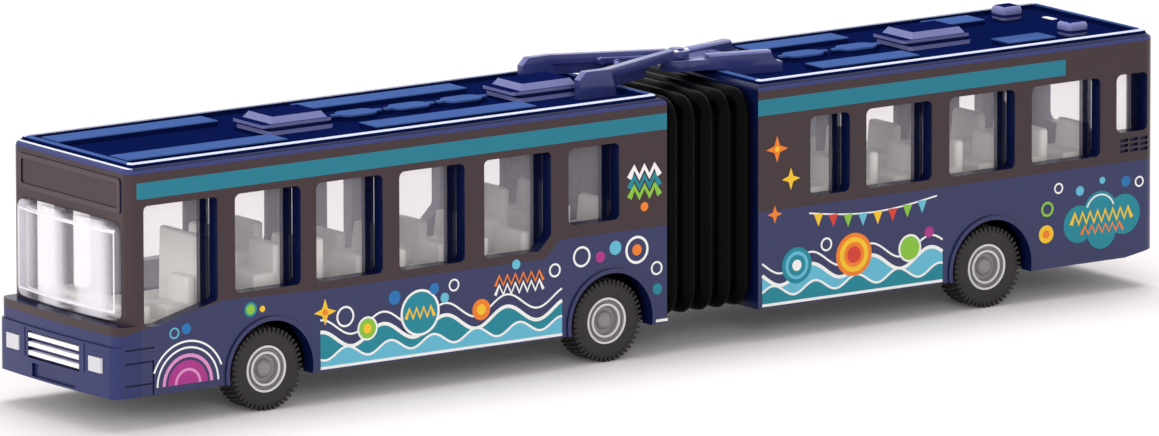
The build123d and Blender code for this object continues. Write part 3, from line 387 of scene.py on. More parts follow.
def clear_panes():
    """Moulded thick and polished: see-through, with a milky body and a sharp gloss."""
    material = finish("clear polystyrene glazing", "#e6dfeb", 0.06, 6.0, 0.01, ior=1.59, spread=0.03,
                      shine=PANE_SHINE)
    tree = material.node_tree
    x, off, z = in_mm(tree)
    place = node(tree, "ShaderNodeTexCoord", {}).outputs["Object"]
    upright = node(tree, "ShaderNodeMapping", {"Scale": (0.0, 1.0, REFLECTION_BAND_HEIGHT), "Vector": place})
    reflection_noise = node(tree, "ShaderNodeTexNoise", {"Scale": 1 / (REFLECTION_BAND_MM * MM), "Detail": 0.0,
                                             "Vector": upright.outputs[0]})
    # Upright bands of painted reflection in the windscreen
    reflection_band = node(tree, "ShaderNodeMapRange", {
        "From Min": 0.4, "From Max": 0.6, "To Min": 0.1, "To Max": 0.64, "Value": reflection_noise.outputs["Fac"]})
    screen = reckon(tree, "GREATER_THAN", x, SCREEN_X)
    bead_highlight = reckon(tree, "MAXIMUM", between(tree, off, *BEAD_SIDES), between(tree, z, *BEAD_SILL),
                  between(tree, z, *BEAD_HEAD))
    bead_highlight = reckon(tree, "MULTIPLY", bead_highlight, reckon(tree, "LESS_THAN", off, BEAD_SIDES[1]),
                  between(tree, z, BEAD_SILL[0], BEAD_HEAD[1]), BEAD_GLINT)
    painted_reflections = reckon(tree, "MAXIMUM", reflection_band.outputs["Result"], bead_highlight)
    # The windscreen is less clear where the painted reflections lie
    haze_and_painted_light = reckon(tree, "MULTIPLY", reckon(tree, "SUBTRACT", painted_reflections, PANE_HAZE), screen)
    # Along the rear edge of each side pane, a dark strip without gloss is painted shade
    side = node(tree, "ShaderNodeSeparateXYZ", {0: place}).outputs["Y"]
    every = reckon(tree, "ADD", *[between(tree, x, low, low + SHADE_STRIP_WIDTH) for low in BOTH_SIDES])
    near = reckon(tree, "ADD", *[between(tree, x, low, low + SHADE_STRIP_WIDTH) for low in NEAR_SIDE])
    near = reckon(tree, "MULTIPLY", near, reckon(tree, "GREATER_THAN", side, 0.0))
    shade_strip = reckon(tree, "ADD", every, near)
    shade_strip = reckon(tree, "MULTIPLY", shade_strip, reckon(tree, "GREATER_THAN", off, PANE_OFF))
    # The windscreen is painted whiter as a reflection, and the strips are painted dark as shade
    feed(material, "Base Color", layer(tree, layer(tree, "#e6dfeb", screen, "#f0ecf4"), shade_strip, "#0a0f2c"))
    gloss = reckon(tree, "MULTIPLY", reckon(tree, "SUBTRACT", 1.0, shade_strip), PANE_SHINE)
    feed(material, "Specular IOR Level", gloss)
    haze_and_painted_light = reckon(tree, "ADD", haze_and_painted_light, reckon(tree, "MULTIPLY", shade_strip, SHADE_STRIP_OPACITY), PANE_HAZE)
    shadow = node(tree, "ShaderNodeLightPath", {}).outputs["Is Shadow Ray"]
    passing = reckon(tree, "SUBTRACT", 1.0, reckon(tree, "MULTIPLY", shadow, SHADOW_LOST))
    feed(material, "Alpha", reckon(tree, "MULTIPLY", haze_and_painted_light, passing))
    return material


GLAZING = clear_panes()
# Counts the strips of painted shade in the side panes
print("moulded steps in the side panes:", len(BOTH_SIDES) * 2 + len(NEAR_SIDE))

# %% [markdown]
# ## Headlamps with moulded flutes
#
# The headlamps are pale blocks with fine upright flutes, as the lens of a real lamp has. A flute is 0.22 mm
# wide, far too fine for the mesh at this distance, so a wave in the material's bump turns the light instead,
# and the same wave paints each flute light and dark.

# %% Fluted lens
FLUTE_MM, FLUTE_DEPTH = 0.22, 0.12
# A wave texture of scale 1 repeats every pi / 10 metres
WAVE = math.pi / 10


def fluted_lens():
    """Moulded pale and polished: bright, with fine lines of painted light and shade side by side over the
    flutes.
    """
    material = finish("fluted pale lens", "#eeeef2", 0.16, 0.6, 0.004, spread=0.04, shine=0.8)
    tree = material.node_tree
    place = node(tree, "ShaderNodeTexCoord", {}).outputs["Object"]
    flutes = node(tree, "ShaderNodeTexWave", {"wave_type": "BANDS", "bands_direction": "Y",
                                              "Scale": WAVE / (FLUTE_MM * MM), "Vector": place})
    bump = node(tree, "ShaderNodeBump", {"Strength": 0.8, "Distance": FLUTE_DEPTH * MM,
                                         "Height": flutes.outputs["Fac"]})
    feed(material, "Normal", bump.outputs["Normal"])
    # The flutes are also painted light and dark side by side: painted light and shade
    feed(material, "Base Color", layer(tree, "#d5d6de", flutes.outputs["Fac"], "#f6f6f8"))
    return material


LENS = fluted_lens()
print("flutes in 1 mm:", round(1 / FLUTE_MM, 1))

# %% [markdown]
# ## Dressing the CAD solids
#
# A CAD node keeps its mesh and its place, and only the material in its slot changes. Pieces that are made
# again further down aren't dressed here.

# %% Finishes on the CAD nodes
finishes = {
    ENAMEL: ("front_body", "rear_body"),
    ROOF: ("front_roof",),
    VIOLET: ("front_roof_hatch_1", "front_roof_hatch_2", "rear_roof_hatch"),
    GLAZING: ("front_glazing", "rear_glazing"),
    BLACK: ("front_base", "rear_base"),
    SILVER: ("grille_bars",),
    LENS: ("headlamp_left", "headlamp_right"),
    RED: ("tail_lamp_left", "tail_lamp_right"),
    STEEL: ("front_axle", "middle_axle", "rear_axle"),
}
for material, names in finishes.items():
    for name in names:
        slots = nodes[name].data.materials
        slots.clear()
        slots.append(material)
print("CAD nodes with a finish:", sum(len(v) for v in finishes.values()))

# %% [markdown]
# ## Making a piece
#
# A new piece is written as points and faces in millimetres. The helper merges doubles, turns every face
# outwards and keeps hard edges where two faces meet at more than a given angle.

# %% From points to a piece
def smoothed(mesh, crease):
    """Smooth shading, with hard edges where faces meet at more than the crease angle."""
    mesh.shade_smooth()
    mesh.set_sharp_from_angle(angle=math.radians(crease))


def add_piece(name, points, faces, materials, indexes=None):
    mesh = bpy.data.meshes.new(name)
    mesh.from_pydata([[c * MM for c in p] for p in points], [], faces)
    for material in materials:
        mesh.materials.append(material)
    if indexes:
        mesh.polygons.foreach_set("material_index", indexes)
    cleaned = bmesh.new()
    cleaned.from_mesh(mesh)
    bmesh.ops.remove_doubles(cleaned, verts=cleaned.verts, dist=1e-7)
    bmesh.ops.recalc_face_normals(cleaned, faces=cleaned.faces)
    cleaned.to_mesh(mesh)
    cleaned.free()
    smoothed(mesh, 35)
    return linked(name, mesh)


def turned(profile, segments):
    """Points and faces of a profile, as (distance along the axle, radius), turned round the Y axis."""
    points = []
    for i in range(segments):
        turn = 2 * math.pi * i / segments
        points += [(r * math.cos(turn), y, r * math.sin(turn)) for y, r in profile]
    n = len(profile)
    faces = [(i * n + j, i * n + (j + 1) % n, ((i + 1) % segments) * n + (j + 1) % n,
              ((i + 1) % segments) * n + j) for i in range(segments) for j in range(n)]
    return points, faces


def rounded(points, radius, steps=4):
    """Rounds the corners of a closed profile."""
    made = []
    for i, point in enumerate(points):
        corner = Vector(point)
        before = Vector(points[i - 1]) - corner
        after = Vector(points[(i + 1) % len(points)]) - corner
        cut = min(radius, before.length * 0.45, after.length * 0.45)
        start = corner + before.normalized() * cut
        end = corner + after.normalized() * cut
        for k in range(steps + 1):
            t = k / steps
            made.append(tuple(start * (1 - t) ** 2 + corner * 2 * t * (1 - t) + end * t * t))
    return made


print("points round one corner:", len(rounded([(0, 0), (1, 0), (1, 1)], 0.1)) // 3)

# %% [markdown]
# ## Trees of Geometry Nodes
#
# What repeats or follows a rule is grown by a node tree: lugs round a tyre, pleats along the bellows and rows
# of seats. Every tree has named inputs for its sizes, makes its copies real, because only real faces are
# exported, and sets the material last. It runs on an empty mesh, and a plain mesh is taken from the result.

# %% Helpers for node trees
def group(name, inputs):
    """A new tree with inputs, as {name: (kind, first value)}, and what its Group Input gives."""
    tree = bpy.data.node_groups.new(name, "GeometryNodeTree")
    tree.interface.new_socket(name="Geometry", in_out="INPUT", socket_type="NodeSocketGeometry")
    for key, (kind, value) in inputs.items():
        made = tree.interface.new_socket(name=key, in_out="INPUT", socket_type="NodeSocket" + kind)
        if value is not None:
            made.default_value = value
    tree.interface.new_socket(name="Geometry", in_out="OUTPUT", socket_type="NodeSocketGeometry")
    return tree, node(tree, "NodeGroupInput", {}).outputs


def finished(tree, geometry, material):
    """Makes copies real, gives them their material and ends the tree."""
    real = node(tree, "GeometryNodeRealizeInstances", {"Geometry": geometry})
    coated = node(tree, "GeometryNodeSetMaterial", {"Geometry": real.outputs[0], "Material": material})
    node(tree, "NodeGroupOutput", {0: coated.outputs[0]})
    return tree


def grown(tree, **values):
    """Runs a node tree on an empty mesh and returns the plain mesh it makes."""
    holder = linked("holder", bpy.data.meshes.new("holder"))
    modifier = holder.modifiers.new("grow", "NODES")
    modifier.node_group = tree
    for item in tree.interface.items_tree:
        if item.in_out == "INPUT" and item.name in values:
            modifier[item.identifier] = values[item.name]
    holder.update_tag()
    bpy.context.view_layer.update()
    mesh = bpy.data.meshes.new_from_object(holder.evaluated_get(bpy.context.evaluated_depsgraph_get()))
    bpy.data.objects.remove(holder)
    return mesh


print("node trees so far:", len(bpy.data.node_groups))

# %% [markdown]
# ## Tyres with moulded lugs
#
# The tyres are black rubber bands with short lugs round both shoulders and two staggered rows across the
# tread. Lugs repeat by a rule, so Geometry Nodes set them on a circle: one block, copied to each point and
# turned to face outwards.

# %% A tree that sets lugs on a circle
def lug_tree():
    tree, given = group("lugs_on_a_circle", {
        "Count": ("Int", 44), "Radius": ("Float", 0.005), "Along": ("Float", 0.0), "Turn": ("Float", 0.0),
        "Size": ("Vector", (0.001, 0.001, 0.001)), "Material": ("Material", None)})
    points = node(tree, "GeometryNodeMeshCircle", {"Vertices": given["Count"], "Radius": given["Radius"]})
    block = node(tree, "GeometryNodeMeshCube", {"Size": given["Size"]})
    index = node(tree, "GeometryNodeInputIndex", {}).outputs[0]
    angle = reckon(tree, "MULTIPLY", reckon(tree, "DIVIDE", index, given["Count"]), 2 * math.pi)
    spin = node(tree, "ShaderNodeCombineXYZ", {"Z": angle})
    lugs = node(tree, "GeometryNodeInstanceOnPoints", {
        "Points": points.outputs[0], "Instance": block.outputs[0], "Rotation": spin.outputs[0]})
    shift = node(tree, "ShaderNodeCombineXYZ", {"Y": given["Along"]})
    tilt = node(tree, "ShaderNodeCombineXYZ", {"X": math.pi / 2, "Y": given["Turn"]})
    set_up = node(tree, "GeometryNodeTransform", {
        "Geometry": lugs.outputs[0], "Translation": shift.outputs[0], "Rotation": tilt.outputs[0]})
    return finished(tree, set_up.outputs[0], given["Material"])


LUG_COUNT = 46
SHOULDER_LUG, TREAD_LUG = (0.86, 0.36, 0.5), (0.34, 0.46, 1.1)
# Rows of lugs, as (place along the axle, turn, radius, size of a lug)
LUG_ROWS = ((1.86, 0.0, 5.4, SHOULDER_LUG), (-1.86, 0.0, 5.4, SHOULDER_LUG),
            (0.62, 0.068, 5.66, TREAD_LUG), (-0.62, 0.0, 5.66, TREAD_LUG))


def lug_rings():
    """All the lugs of one tyre as one mesh."""
    tree = lug_tree()
    joined = bmesh.new()
    for along, turn, radius, size in LUG_ROWS:
        joined.from_mesh(grown(tree, Count=LUG_COUNT, Radius=radius * MM, Along=along * MM, Turn=turn,
                               Size=tuple(s * MM for s in size), Material=RUBBER))
    mesh = bpy.data.meshes.new("lugs")
    joined.to_mesh(mesh)
    joined.free()
    return mesh


lug_mesh = lug_rings()
print("faces in the lugs of one tyre:", len(lug_mesh.polygons))

# %% [markdown]
# ## Wheels in six places
#
# One tyre and one wheel face are made at the origin and copied to the six ends of the axles. The copies are
# turned half round for the other side, never mirrored, so that no face turns inside out. A place goes into
# the mesh itself, and every object stays at the origin.

# %% One tyre and one wheel face
AXLES = (("front", 63.6), ("middle", 5.8), ("rear", -60.6))
TYRE_R, TYRE_HALF, WHEEL_OUT = 5.83, 2.1, 13.7
BAND_R = TYRE_R - 0.2
RIM_R = 3.32
TYRE_SEGMENTS, RIM_SEGMENTS = 72, 64
# Profiles, as (distance along the axle, radius)
tyre_profile = rounded([(-TYRE_HALF, RIM_R), (2.0, RIM_R), (TYRE_HALF, 5.1), (1.75, BAND_R), (-1.75, BAND_R),
                        (-TYRE_HALF, 5.1)], 0.35)
rim_profile = rounded([(-2.0, 0.0), (-2.0, RIM_R), (1.95, RIM_R), (1.95, 3.0), (1.35, 2.86), (1.35, 2.56),
                       (1.8, 2.42), (1.8, 2.12), (1.0, 1.9), (0.95, 1.34), (1.45, 1.16), (1.78, 0.75),
                       (1.86, 0.0)], 0.1, 2)
tyre_form = turned(tyre_profile, TYRE_SEGMENTS)
rim_form = turned(rim_profile, RIM_SEGMENTS)


def is_ring(start, end):
    """True on the two raised rings of the wheel face, which carry a painted highlight."""
    middle = (start[1] + end[1]) / 2
    return min(start[0], end[0]) > 1.6 and (middle > 2.9 or 2.06 < middle < 2.5)


rim_edges = zip(rim_profile, rim_profile[1:] + rim_profile[:1])
ring_faces = [int(is_ring(start, end)) for start, end in rim_edges] * RIM_SEGMENTS

for axle, x in AXLES:
    for hand, side in (("left", 1), ("right", -1)):
        place = Matrix.Translation((x * MM, side * (WHEEL_OUT - TYRE_HALF) * MM, TYRE_R * MM))
        place = place @ Matrix.Rotation(0 if side > 0 else math.pi, 4, "Z")
        tyre = add_piece(axle + "_" + hand + "_tyre_rubber", *tyre_form, [RUBBER])
        both = bmesh.new()
        both.from_mesh(tyre.data)
        both.from_mesh(lug_mesh)
        both.to_mesh(tyre.data)
        both.free()
        rim = add_piece(axle + "_" + hand + "_wheel_face", *rim_form, [WHEEL, RING_HIGHLIGHT], ring_faces)
        for obj, part, slot_name in ((tyre, "tyre", "tyre"), (rim, "rim", "grey_plastic")):
            obj.data.transform(place)
            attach(obj, axle + "_wheels")
            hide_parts(axle + "_" + hand + "_" + part)
print("wheels made:", 2 * len(AXLES))

# %% [markdown]
# ## The pleated bellows
#
# The bellows is a soft tube with five deep pleats, and its section is a rounded rectangle. It follows a
# rule, so a node tree sweeps the section along a line whose radius rises and falls: a smooth hill for each
# pleat. Solidify gives it a wall.

# %% Bellows by a swept section
BELLOWS_FRONT, BELLOWS_REAR, BELLOWS_MID_Z, PLEATS = -4.05, -19.55, 20.55, 5
BELLOWS_WIDTH, BELLOWS_HEIGHT, BELLOWS_CORNER, BELLOWS_WALL = 27.8, 31.3, 3.2, 0.7
# Under 1 the power makes the ridges broad and the valleys sharp
RIDGE_POWER = 0.75


def bellows_tree():
    tree, given = group("pleated_tube", {
        "Front": ("Vector", (0.0, 0.0, 0.0)), "Rear": ("Vector", (0.0, 0.0, 0.0)), "Pleats": ("Int", 5),
        "Valley": ("Float", 0.9), "Material": ("Material", None)})
    line = node(tree, "GeometryNodeCurvePrimitiveLine", {"Start": given["Front"], "End": given["Rear"]})
    fine = node(tree, "GeometryNodeResampleCurve", {"Count": 121, "Curve": line.outputs[0]})
    along = node(tree, "GeometryNodeSplineParameter", {}).outputs["Factor"]
    phase = reckon(tree, "MULTIPLY", along, given["Pleats"], math.pi)
    wave = reckon(tree, "ABSOLUTE", reckon(tree, "SINE", phase))
    hill = reckon(tree, "POWER", wave, RIDGE_POWER)
    depth = reckon(tree, "SUBTRACT", 1.0, given["Valley"])
    radius = reckon(tree, "ADD", given["Valley"], reckon(tree, "MULTIPLY", hill, depth))
    box = node(tree, "GeometryNodeCurvePrimitiveQuadrilateral", {
        "Width": BELLOWS_WIDTH * MM, "Height": BELLOWS_HEIGHT * MM})
    corners = node(tree, "GeometryNodeFilletCurve", {
        "mode": "POLY", "Count": 8, "Radius": BELLOWS_CORNER * MM, "Curve": box.outputs[0]})
    section = node(tree, "GeometryNodeResampleCurve", {"Count": 120, "Curve": corners.outputs[0]})
    swept = node(tree, "GeometryNodeCurveToMesh", {
        "Curve": fine.outputs[0], "Profile Curve": section.outputs[0], "Scale": radius})
    return finished(tree, swept.outputs[0], given["Material"])


bellows = linked("bellows_vinyl", grown(
    bellows_tree(), Front=(BELLOWS_FRONT * MM, 0.0, BELLOWS_MID_Z * MM),
    Rear=(BELLOWS_REAR * MM, 0.0, BELLOWS_MID_Z * MM), Pleats=PLEATS, Material=VINYL))
wall = bellows.modifiers.new("wall", "SOLIDIFY")
wall.thickness = BELLOWS_WALL * MM
wall.offset = -1.0
solid = bpy.data.meshes.new_from_object(bellows.evaluated_get(bpy.context.evaluated_depsgraph_get()))
bellows.modifiers.clear()
bellows.data = solid
cleaned = bmesh.new()
cleaned.from_mesh(solid)
bmesh.ops.recalc_face_normals(cleaned, faces=cleaned.faces)
cleaned.to_mesh(solid)
cleaned.free()
solid.shade_smooth()
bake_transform(bellows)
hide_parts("bellows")
lows = [min(v.co[i] for v in solid.vertices) / MM for i in range(3)]
highs = [max(v.co[i] for v in solid.vertices) / MM for i in range(3)]
print("bellows box in mm:", [round(v, 1) for v in lows + highs])

# %% [markdown]
# ## Seats behind the glass
#
# The seats are one ivory moulding in each section: a tray with rows of soft-edged seats that taper upwards.
# One seat is a block with its edges rounded by a bevel, and its back leans and narrows. The rows stand at an
# even spacing, so Geometry Nodes copies the seat along a line, once for each side and each height: the rows
# over the axles and in the rear section stand on a step.

# %% Blocks with rounded edges
def soft_block(low, high, bevel, lean=0.0, narrow=1.0):
    """A block with rounded edges; its top can lean back and be narrower."""
    made = bmesh.new()
    bmesh.ops.create_cube(made, size=1.0)
    middle = (low[1] + high[1]) / 2
    for vert in made.verts:
        share = vert.co.z + 0.5
        for axis in range(3):
            vert.co[axis] = low[axis] + (high[axis] - low[axis]) * (vert.co[axis] + 0.5)
        vert.co.y = middle + (vert.co.y - middle) * (1 - share * (1 - narrow))
        vert.co.x -= lean * share
    bmesh.ops.bevel(made, geom=list(made.edges), offset=bevel, segments=4, profile=0.5, affect="EDGES")
    return made


def joined_piece(name, forms, material):
    """Several closed forms in millimetres as one object."""
    whole = bmesh.new()
    for form in forms:
        part = bpy.data.meshes.new("part")
        form.to_mesh(part)
        form.free()
        whole.from_mesh(part)
        bpy.data.meshes.remove(part)
    for vert in whole.verts:
        vert.co *= MM
    bmesh.ops.recalc_face_normals(whole, faces=whole.faces)
    mesh = bpy.data.meshes.new(name)
    whole.to_mesh(mesh)
    whole.free()
    mesh.materials.append(material)
    smoothed(mesh, 40)
    return linked(name, mesh)


TRAY_FOOT, TRAY_TOP, TRAY_OFF = 12.5, 13.3, 11.4
SEAT_IN, SEAT_OUT, CUSHION_TOP = 3.6, 11.2, 15.6
# Tops of the backs: on the floor, over an axle and on the rear platform
FLOOR_BACK, AXLE_BACK, REAR_BACK = 19.4, 22.5, 24.0
# A seat starts a little inside the tray
SEAT_FOOT = TRAY_TOP - 0.1


def seat(top):
    """A back and a cushion at x 0, both raised with the step that they stand on."""
    back = soft_block((-1.3, SEAT_IN, SEAT_FOOT), (0.2, SEAT_OUT, top), 0.55, lean=0.5, narrow=0.84)
    cushion = soft_block((-0.6, SEAT_IN + 0.2, SEAT_FOOT),
                         (3.4, SEAT_OUT - 0.2, CUSHION_TOP + top - FLOOR_BACK), 0.5)
    return joined_piece("seat_form", [back, cushion], IVORY)


seat_forms = {top: seat(top) for top in (FLOOR_BACK, AXLE_BACK, REAR_BACK)}
print("one seat has", len(seat_forms[FLOOR_BACK].data.polygons), "faces")

# %% Rows of seats
def row_tree():
    tree, given = group("seat_rows", {
        "Seat": ("Object", None), "Rows": ("Int", 4), "First": ("Vector", (0.0, 0.0, 0.0)),
        "Spacing": ("Vector", (0.0, 0.0, 0.0)), "Material": ("Material", None)})
    line = node(tree, "GeometryNodeMeshLine", {
        "mode": "OFFSET", "Count": given["Rows"], "Start Location": given["First"],
        "Offset": given["Spacing"]})
    form = node(tree, "GeometryNodeObjectInfo", {"Object": given["Seat"]})
    rows = node(tree, "GeometryNodeInstanceOnPoints", {
        "Points": line.outputs[0], "Instance": form.outputs["Geometry"]})
    return finished(tree, rows.outputs[0], given["Material"])


def seat_rows(tree, rows):
    """Rows on both sides, as (first x, spacing, count, top of the back)."""
    whole = bmesh.new()
    for first, spacing, count, top in rows:
        for shift in (0.0, -(SEAT_IN + SEAT_OUT)):
            whole.from_mesh(grown(tree, Seat=seat_forms[top], Rows=count, First=(first * MM, shift * MM, 0.0),
                                  Spacing=(spacing * MM, 0.0, 0.0), Material=IVORY))
    return whole


# The front tray carries the partition behind the cab, the driver's seat with its back, and the dash with
# its hood
front_tray = [soft_block((-2.3, -TRAY_OFF, TRAY_FOOT), (84.5, TRAY_OFF, TRAY_TOP), 0.15),
              soft_block((70.6, -1.0, SEAT_FOOT), (71.9, 11.1, 24.8), 0.5, narrow=0.94),
              soft_block((73.6, 3.6, SEAT_FOOT), (77.4, 9.4, 15.6), 0.5),
              soft_block((72.6, 3.6, SEAT_FOOT), (74.0, 9.4, 19.2), 0.5, lean=0.4, narrow=0.8),
              soft_block((81.0, -9.0, SEAT_FOOT), (84.4, 11.1, 16.4), 0.6),
              soft_block((80.2, 4.6, SEAT_FOOT), (82.0, 8.2, 17.0), 0.5, lean=0.5)]
rear_tray = [soft_block((-87.4, -TRAY_OFF, TRAY_FOOT), (-21.4, TRAY_OFF, TRAY_TOP), 0.15)]
front_rows = ((60.5, -7.0, 2, AXLE_BACK), (46.5, -7.0, 5, FLOOR_BACK), (11.5, -7.0, 2, AXLE_BACK))
rear_rows = ((-27.0, -7.5, 8, REAR_BACK),)
rows_tree = row_tree()
for name, tray, rows, body, solid_name in (
        ("front_seats", front_tray, front_rows, "front_section", "front_interior"),
        ("rear_seats", rear_tray, rear_rows, "rear_section", "rear_interior")):
    piece = joined_piece(name, tray, IVORY)
    whole = seat_rows(rows_tree, rows)
    whole.from_mesh(piece.data)
    whole.to_mesh(piece.data)
    whole.free()
    smoothed(piece.data, 40)
    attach(piece, body)
    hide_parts(solid_name)
    print(name, len(piece.data.polygons), "faces")
for form in seat_forms.values():
    bpy.data.objects.remove(form)

# %% [markdown]
# ## Arms, roof covers and pins
#
# The arms of the linkage are the solids with their edges rounded, as a moulded arm has them, because a
# rounded edge is what catches the light. The two small covers at the rear of the roof are rounder and
# narrower than in the solids, so the rear roof is used without them, and rounded ones stand in their place.
# A small bright slot lies beside them. The linkage turns on nickel-plated pins with domed heads.

# %% Linkage arms and the rear roof
ARM_EDGE = 0.16
# Where the solids' covers stand on the rear roof
COVER_X, COVER_OFF, ROOF_FLOOR = (-82.6, -77.4), (5.6, 10.0), 36.2


def merged_copy(solid_name):
    """A welded copy of a CAD node's mesh, with its flat faces joined again."""
    copy = bmesh.new()
    copy.from_mesh(nodes[solid_name].data)
    bmesh.ops.remove_doubles(copy, verts=copy.verts, dist=1e-6)
    bmesh.ops.dissolve_limit(copy, angle_limit=math.radians(0.5), verts=copy.verts, edges=copy.edges)
    return copy


def placed(name, form, material, solid_name, body):
    """Turns a form in metres into the piece that replaces a solid."""
    mesh = bpy.data.meshes.new(name)
    form.to_mesh(mesh)
    form.free()
    mesh.materials.append(material)
    smoothed(mesh, 32)
    obj = linked(name, mesh)
    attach(obj, body)
    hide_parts(solid_name)
    print(name, len(mesh.polygons), "faces")


def on_cover(co):
    """True at a point of the solids' covers."""
    x, off, z = co.x / MM, abs(co.y) / MM, co.z / MM
    return COVER_X[0] < x < COVER_X[1] and COVER_OFF[0] < off < COVER_OFF[1] and z > ROOF_FLOOR


for end in ("front", "rear"):
    arms = merged_copy(end + "_roof_arms")
    sharp = [e for e in arms.edges if len(e.link_faces) == 2 and e.calc_face_angle() > math.radians(40)]
    bmesh.ops.bevel(arms, geom=sharp, offset=ARM_EDGE * MM, segments=2, profile=0.5, affect="EDGES",
                    clamp_overlap=True)
    placed(end + "_linkage_arms", arms, ARM, end + "_roof_arms", end + "_section")

roof = merged_copy("rear_roof")
bmesh.ops.delete(roof, geom=[f for f in roof.faces if all(on_cover(v.co) for v in f.verts)], context="FACES")
bmesh.ops.holes_fill(roof, edges=[e for e in roof.edges if e.is_boundary], sides=0)
placed("rear_roof_tray", roof, ROOF, "rear_roof", "rear_section")

# %% Roof covers, slot and pins
PIVOT_X, PIN_Z, PIN_R, PIN_DOME = -16.0, 40.0, 0.46, 0.28
# The pins stand round the pivot, as (x, y) from it
PINS = ((0.9, 1.1), (-1.3, 0.4), (1.3, -0.5))
COVER_MID, COVER_HALF = 7.8, 1.7


def pin_head(centre, radius, height):
    """A domed rivet head."""
    made = bmesh.new()
    bmesh.ops.create_uvsphere(made, u_segments=20, v_segments=10, radius=1.0)
    for vert in made.verts:
        x, y, z = vert.co
        rise = z * height if z > 0 else z * 0.15
        vert.co = (centre[0] + x * radius, centre[1] + y * radius, centre[2] + rise)
    return made


covers = []
for side in (1, -1):
    middle = side * COVER_MID
    covers.append(soft_block((-81.8, middle - COVER_HALF, 36.25), (-78.2, middle + COVER_HALF, 38.5), 0.75))
slot_mark = [soft_block((-86.1, -6.2, 36.25), (-85.1, -3.8, 36.42), 0.08)]
pins = [pin_head((PIVOT_X + dx, dy, PIN_Z), PIN_R, PIN_DOME) for dx, dy in PINS]
for name, forms, material, body, slot_name in (
        ("rear_roof_covers", covers, VIOLET, "rear_section", "roof_violet"),
        ("rear_roof_slot", slot_mark, SILVER, "rear_section", "silver"),
        ("linkage_pins", pins, NICKEL, "front_section", "steel")):
    piece = joined_piece(name, forms, material)
    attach(piece, body)
    print(name, len(piece.data.polygons), "faces")

# %% [markdown]
# ## Prints on the sides
#
# The sides are pad-printed with a bright pattern: waves along the skirt, bubbles, rings, sparkles, zigzags
# and a line of flags. A print is a layer of ink about a hundredth of a millimetre thick. Each shape here is
# a flat patch that stands 0.02 mm off the enamel, and one step more for each layer over another, so that no
# two inks lie in one plane. Patches are plain mesh, because a flat shape with a clean outline needs no more.

# %% Inks and flat shapes
INKS = {"white": "#f1f1ee", "teal": "#148596", "sky": "#62b9d2", "orange": "#ee7f24", "yellow": "#f2c325",
        "green": "#86c13a", "magenta": "#a92f86", "pink": "#dd8fc4", "red": "#d33d2c", "blue": "#1a6fb0"}
INK_ORDER = list(INKS)
# Ink from a silicone pad dries to a thin satin film, duller than the enamel round it
INK_MATERIALS = [finish("pad-printed " + name + " ink", code, 0.38, 0.4, 0.003, spread=0.05)
                 for name, code in INKS.items()]
SIDE_Y = 14.5
INK_STEP, INK_FOOT = 0.02, 0.05


def patch(outline):
    return [tuple(p) for p in outline], [tuple(range(len(outline)))]


def strip(first, second):
    """A band between two lines of the same number of points."""
    n = len(first)
    return list(first) + list(second), [(i, i + 1, n + i + 1, n + i) for i in range(n - 1)]


def polar(cx, cz, r, angle):
    return cx + r * math.cos(angle), cz + r * math.sin(angle)


def circle(cx, cz, r, start=0, end=360, n=32):
    return [polar(cx, cz, r, math.radians(start + (end - start) * i / n)) for i in range(n + 1)]


def disc(cx, cz, r):
    return patch(circle(cx, cz, r)[:-1])


def ring(cx, cz, r, width, start=0, end=360):
    return strip(circle(cx, cz, r, start, end), circle(cx, cz, r - width, start, end))


def sparkle(cx, cz, r, arms=4):
    """A star whose waists are about a third of its size."""
    radii = [r, r * 0.36] * arms
    return patch([polar(cx, cz, q, math.pi * i / arms + math.pi / 2) for i, q in enumerate(radii)])


def ribbon(line, width):
    """A band of even width along a line."""
    upper, lower = [], []
    for i, p in enumerate(line):
        before, after = line[max(i - 1, 0)], line[min(i + 1, len(line) - 1)]
        way = Vector((after[0] - before[0], after[1] - before[1])).normalized() * width / 2
        upper.append((p[0] - way.y, p[1] + way.x))
        lower.append((p[0] + way.y, p[1] - way.x))
    return strip(upper, lower)


def swell(low, high, height, amp, length, shift=0.0):
    """A wavy line of the given length of wave, with a point about every half millimetre."""
    n = max(8, int((high - low) * 2))
    places = [low + (high - low) * i / n for i in range(n + 1)]
    return [(x, height + amp * math.sin(2 * math.pi * (x / length + shift))) for x in places]


def zigzag(low, high, z, amp, teeth):
    n = 2 * teeth
    return [(low + (high - low) * i / n, z + (amp if i % 2 else -amp)) for i in range(n + 1)]


print("inks:", len(INK_MATERIALS))

# %% Laying the prints on a side
def add_print(name, points, faces, inks):
    """Print meshes keep each shape apart, so that two inks that touch stay two closed solids."""
    mesh = bpy.data.meshes.new(name)
    mesh.from_pydata([[c * MM for c in p] for p in points], [], faces)
    for material in INK_MATERIALS:
        mesh.materials.append(material)
    mesh.polygons.foreach_set("material_index", inks)
    cleaned = bmesh.new()
    cleaned.from_mesh(mesh)
    bmesh.ops.recalc_face_normals(cleaned, faces=cleaned.faces)
    bmesh.ops.triangulate(cleaned, faces=[f for f in cleaned.faces if len(f.verts) > 4])
    cleaned.to_mesh(mesh)
    cleaned.free()
    return linked(name, mesh)


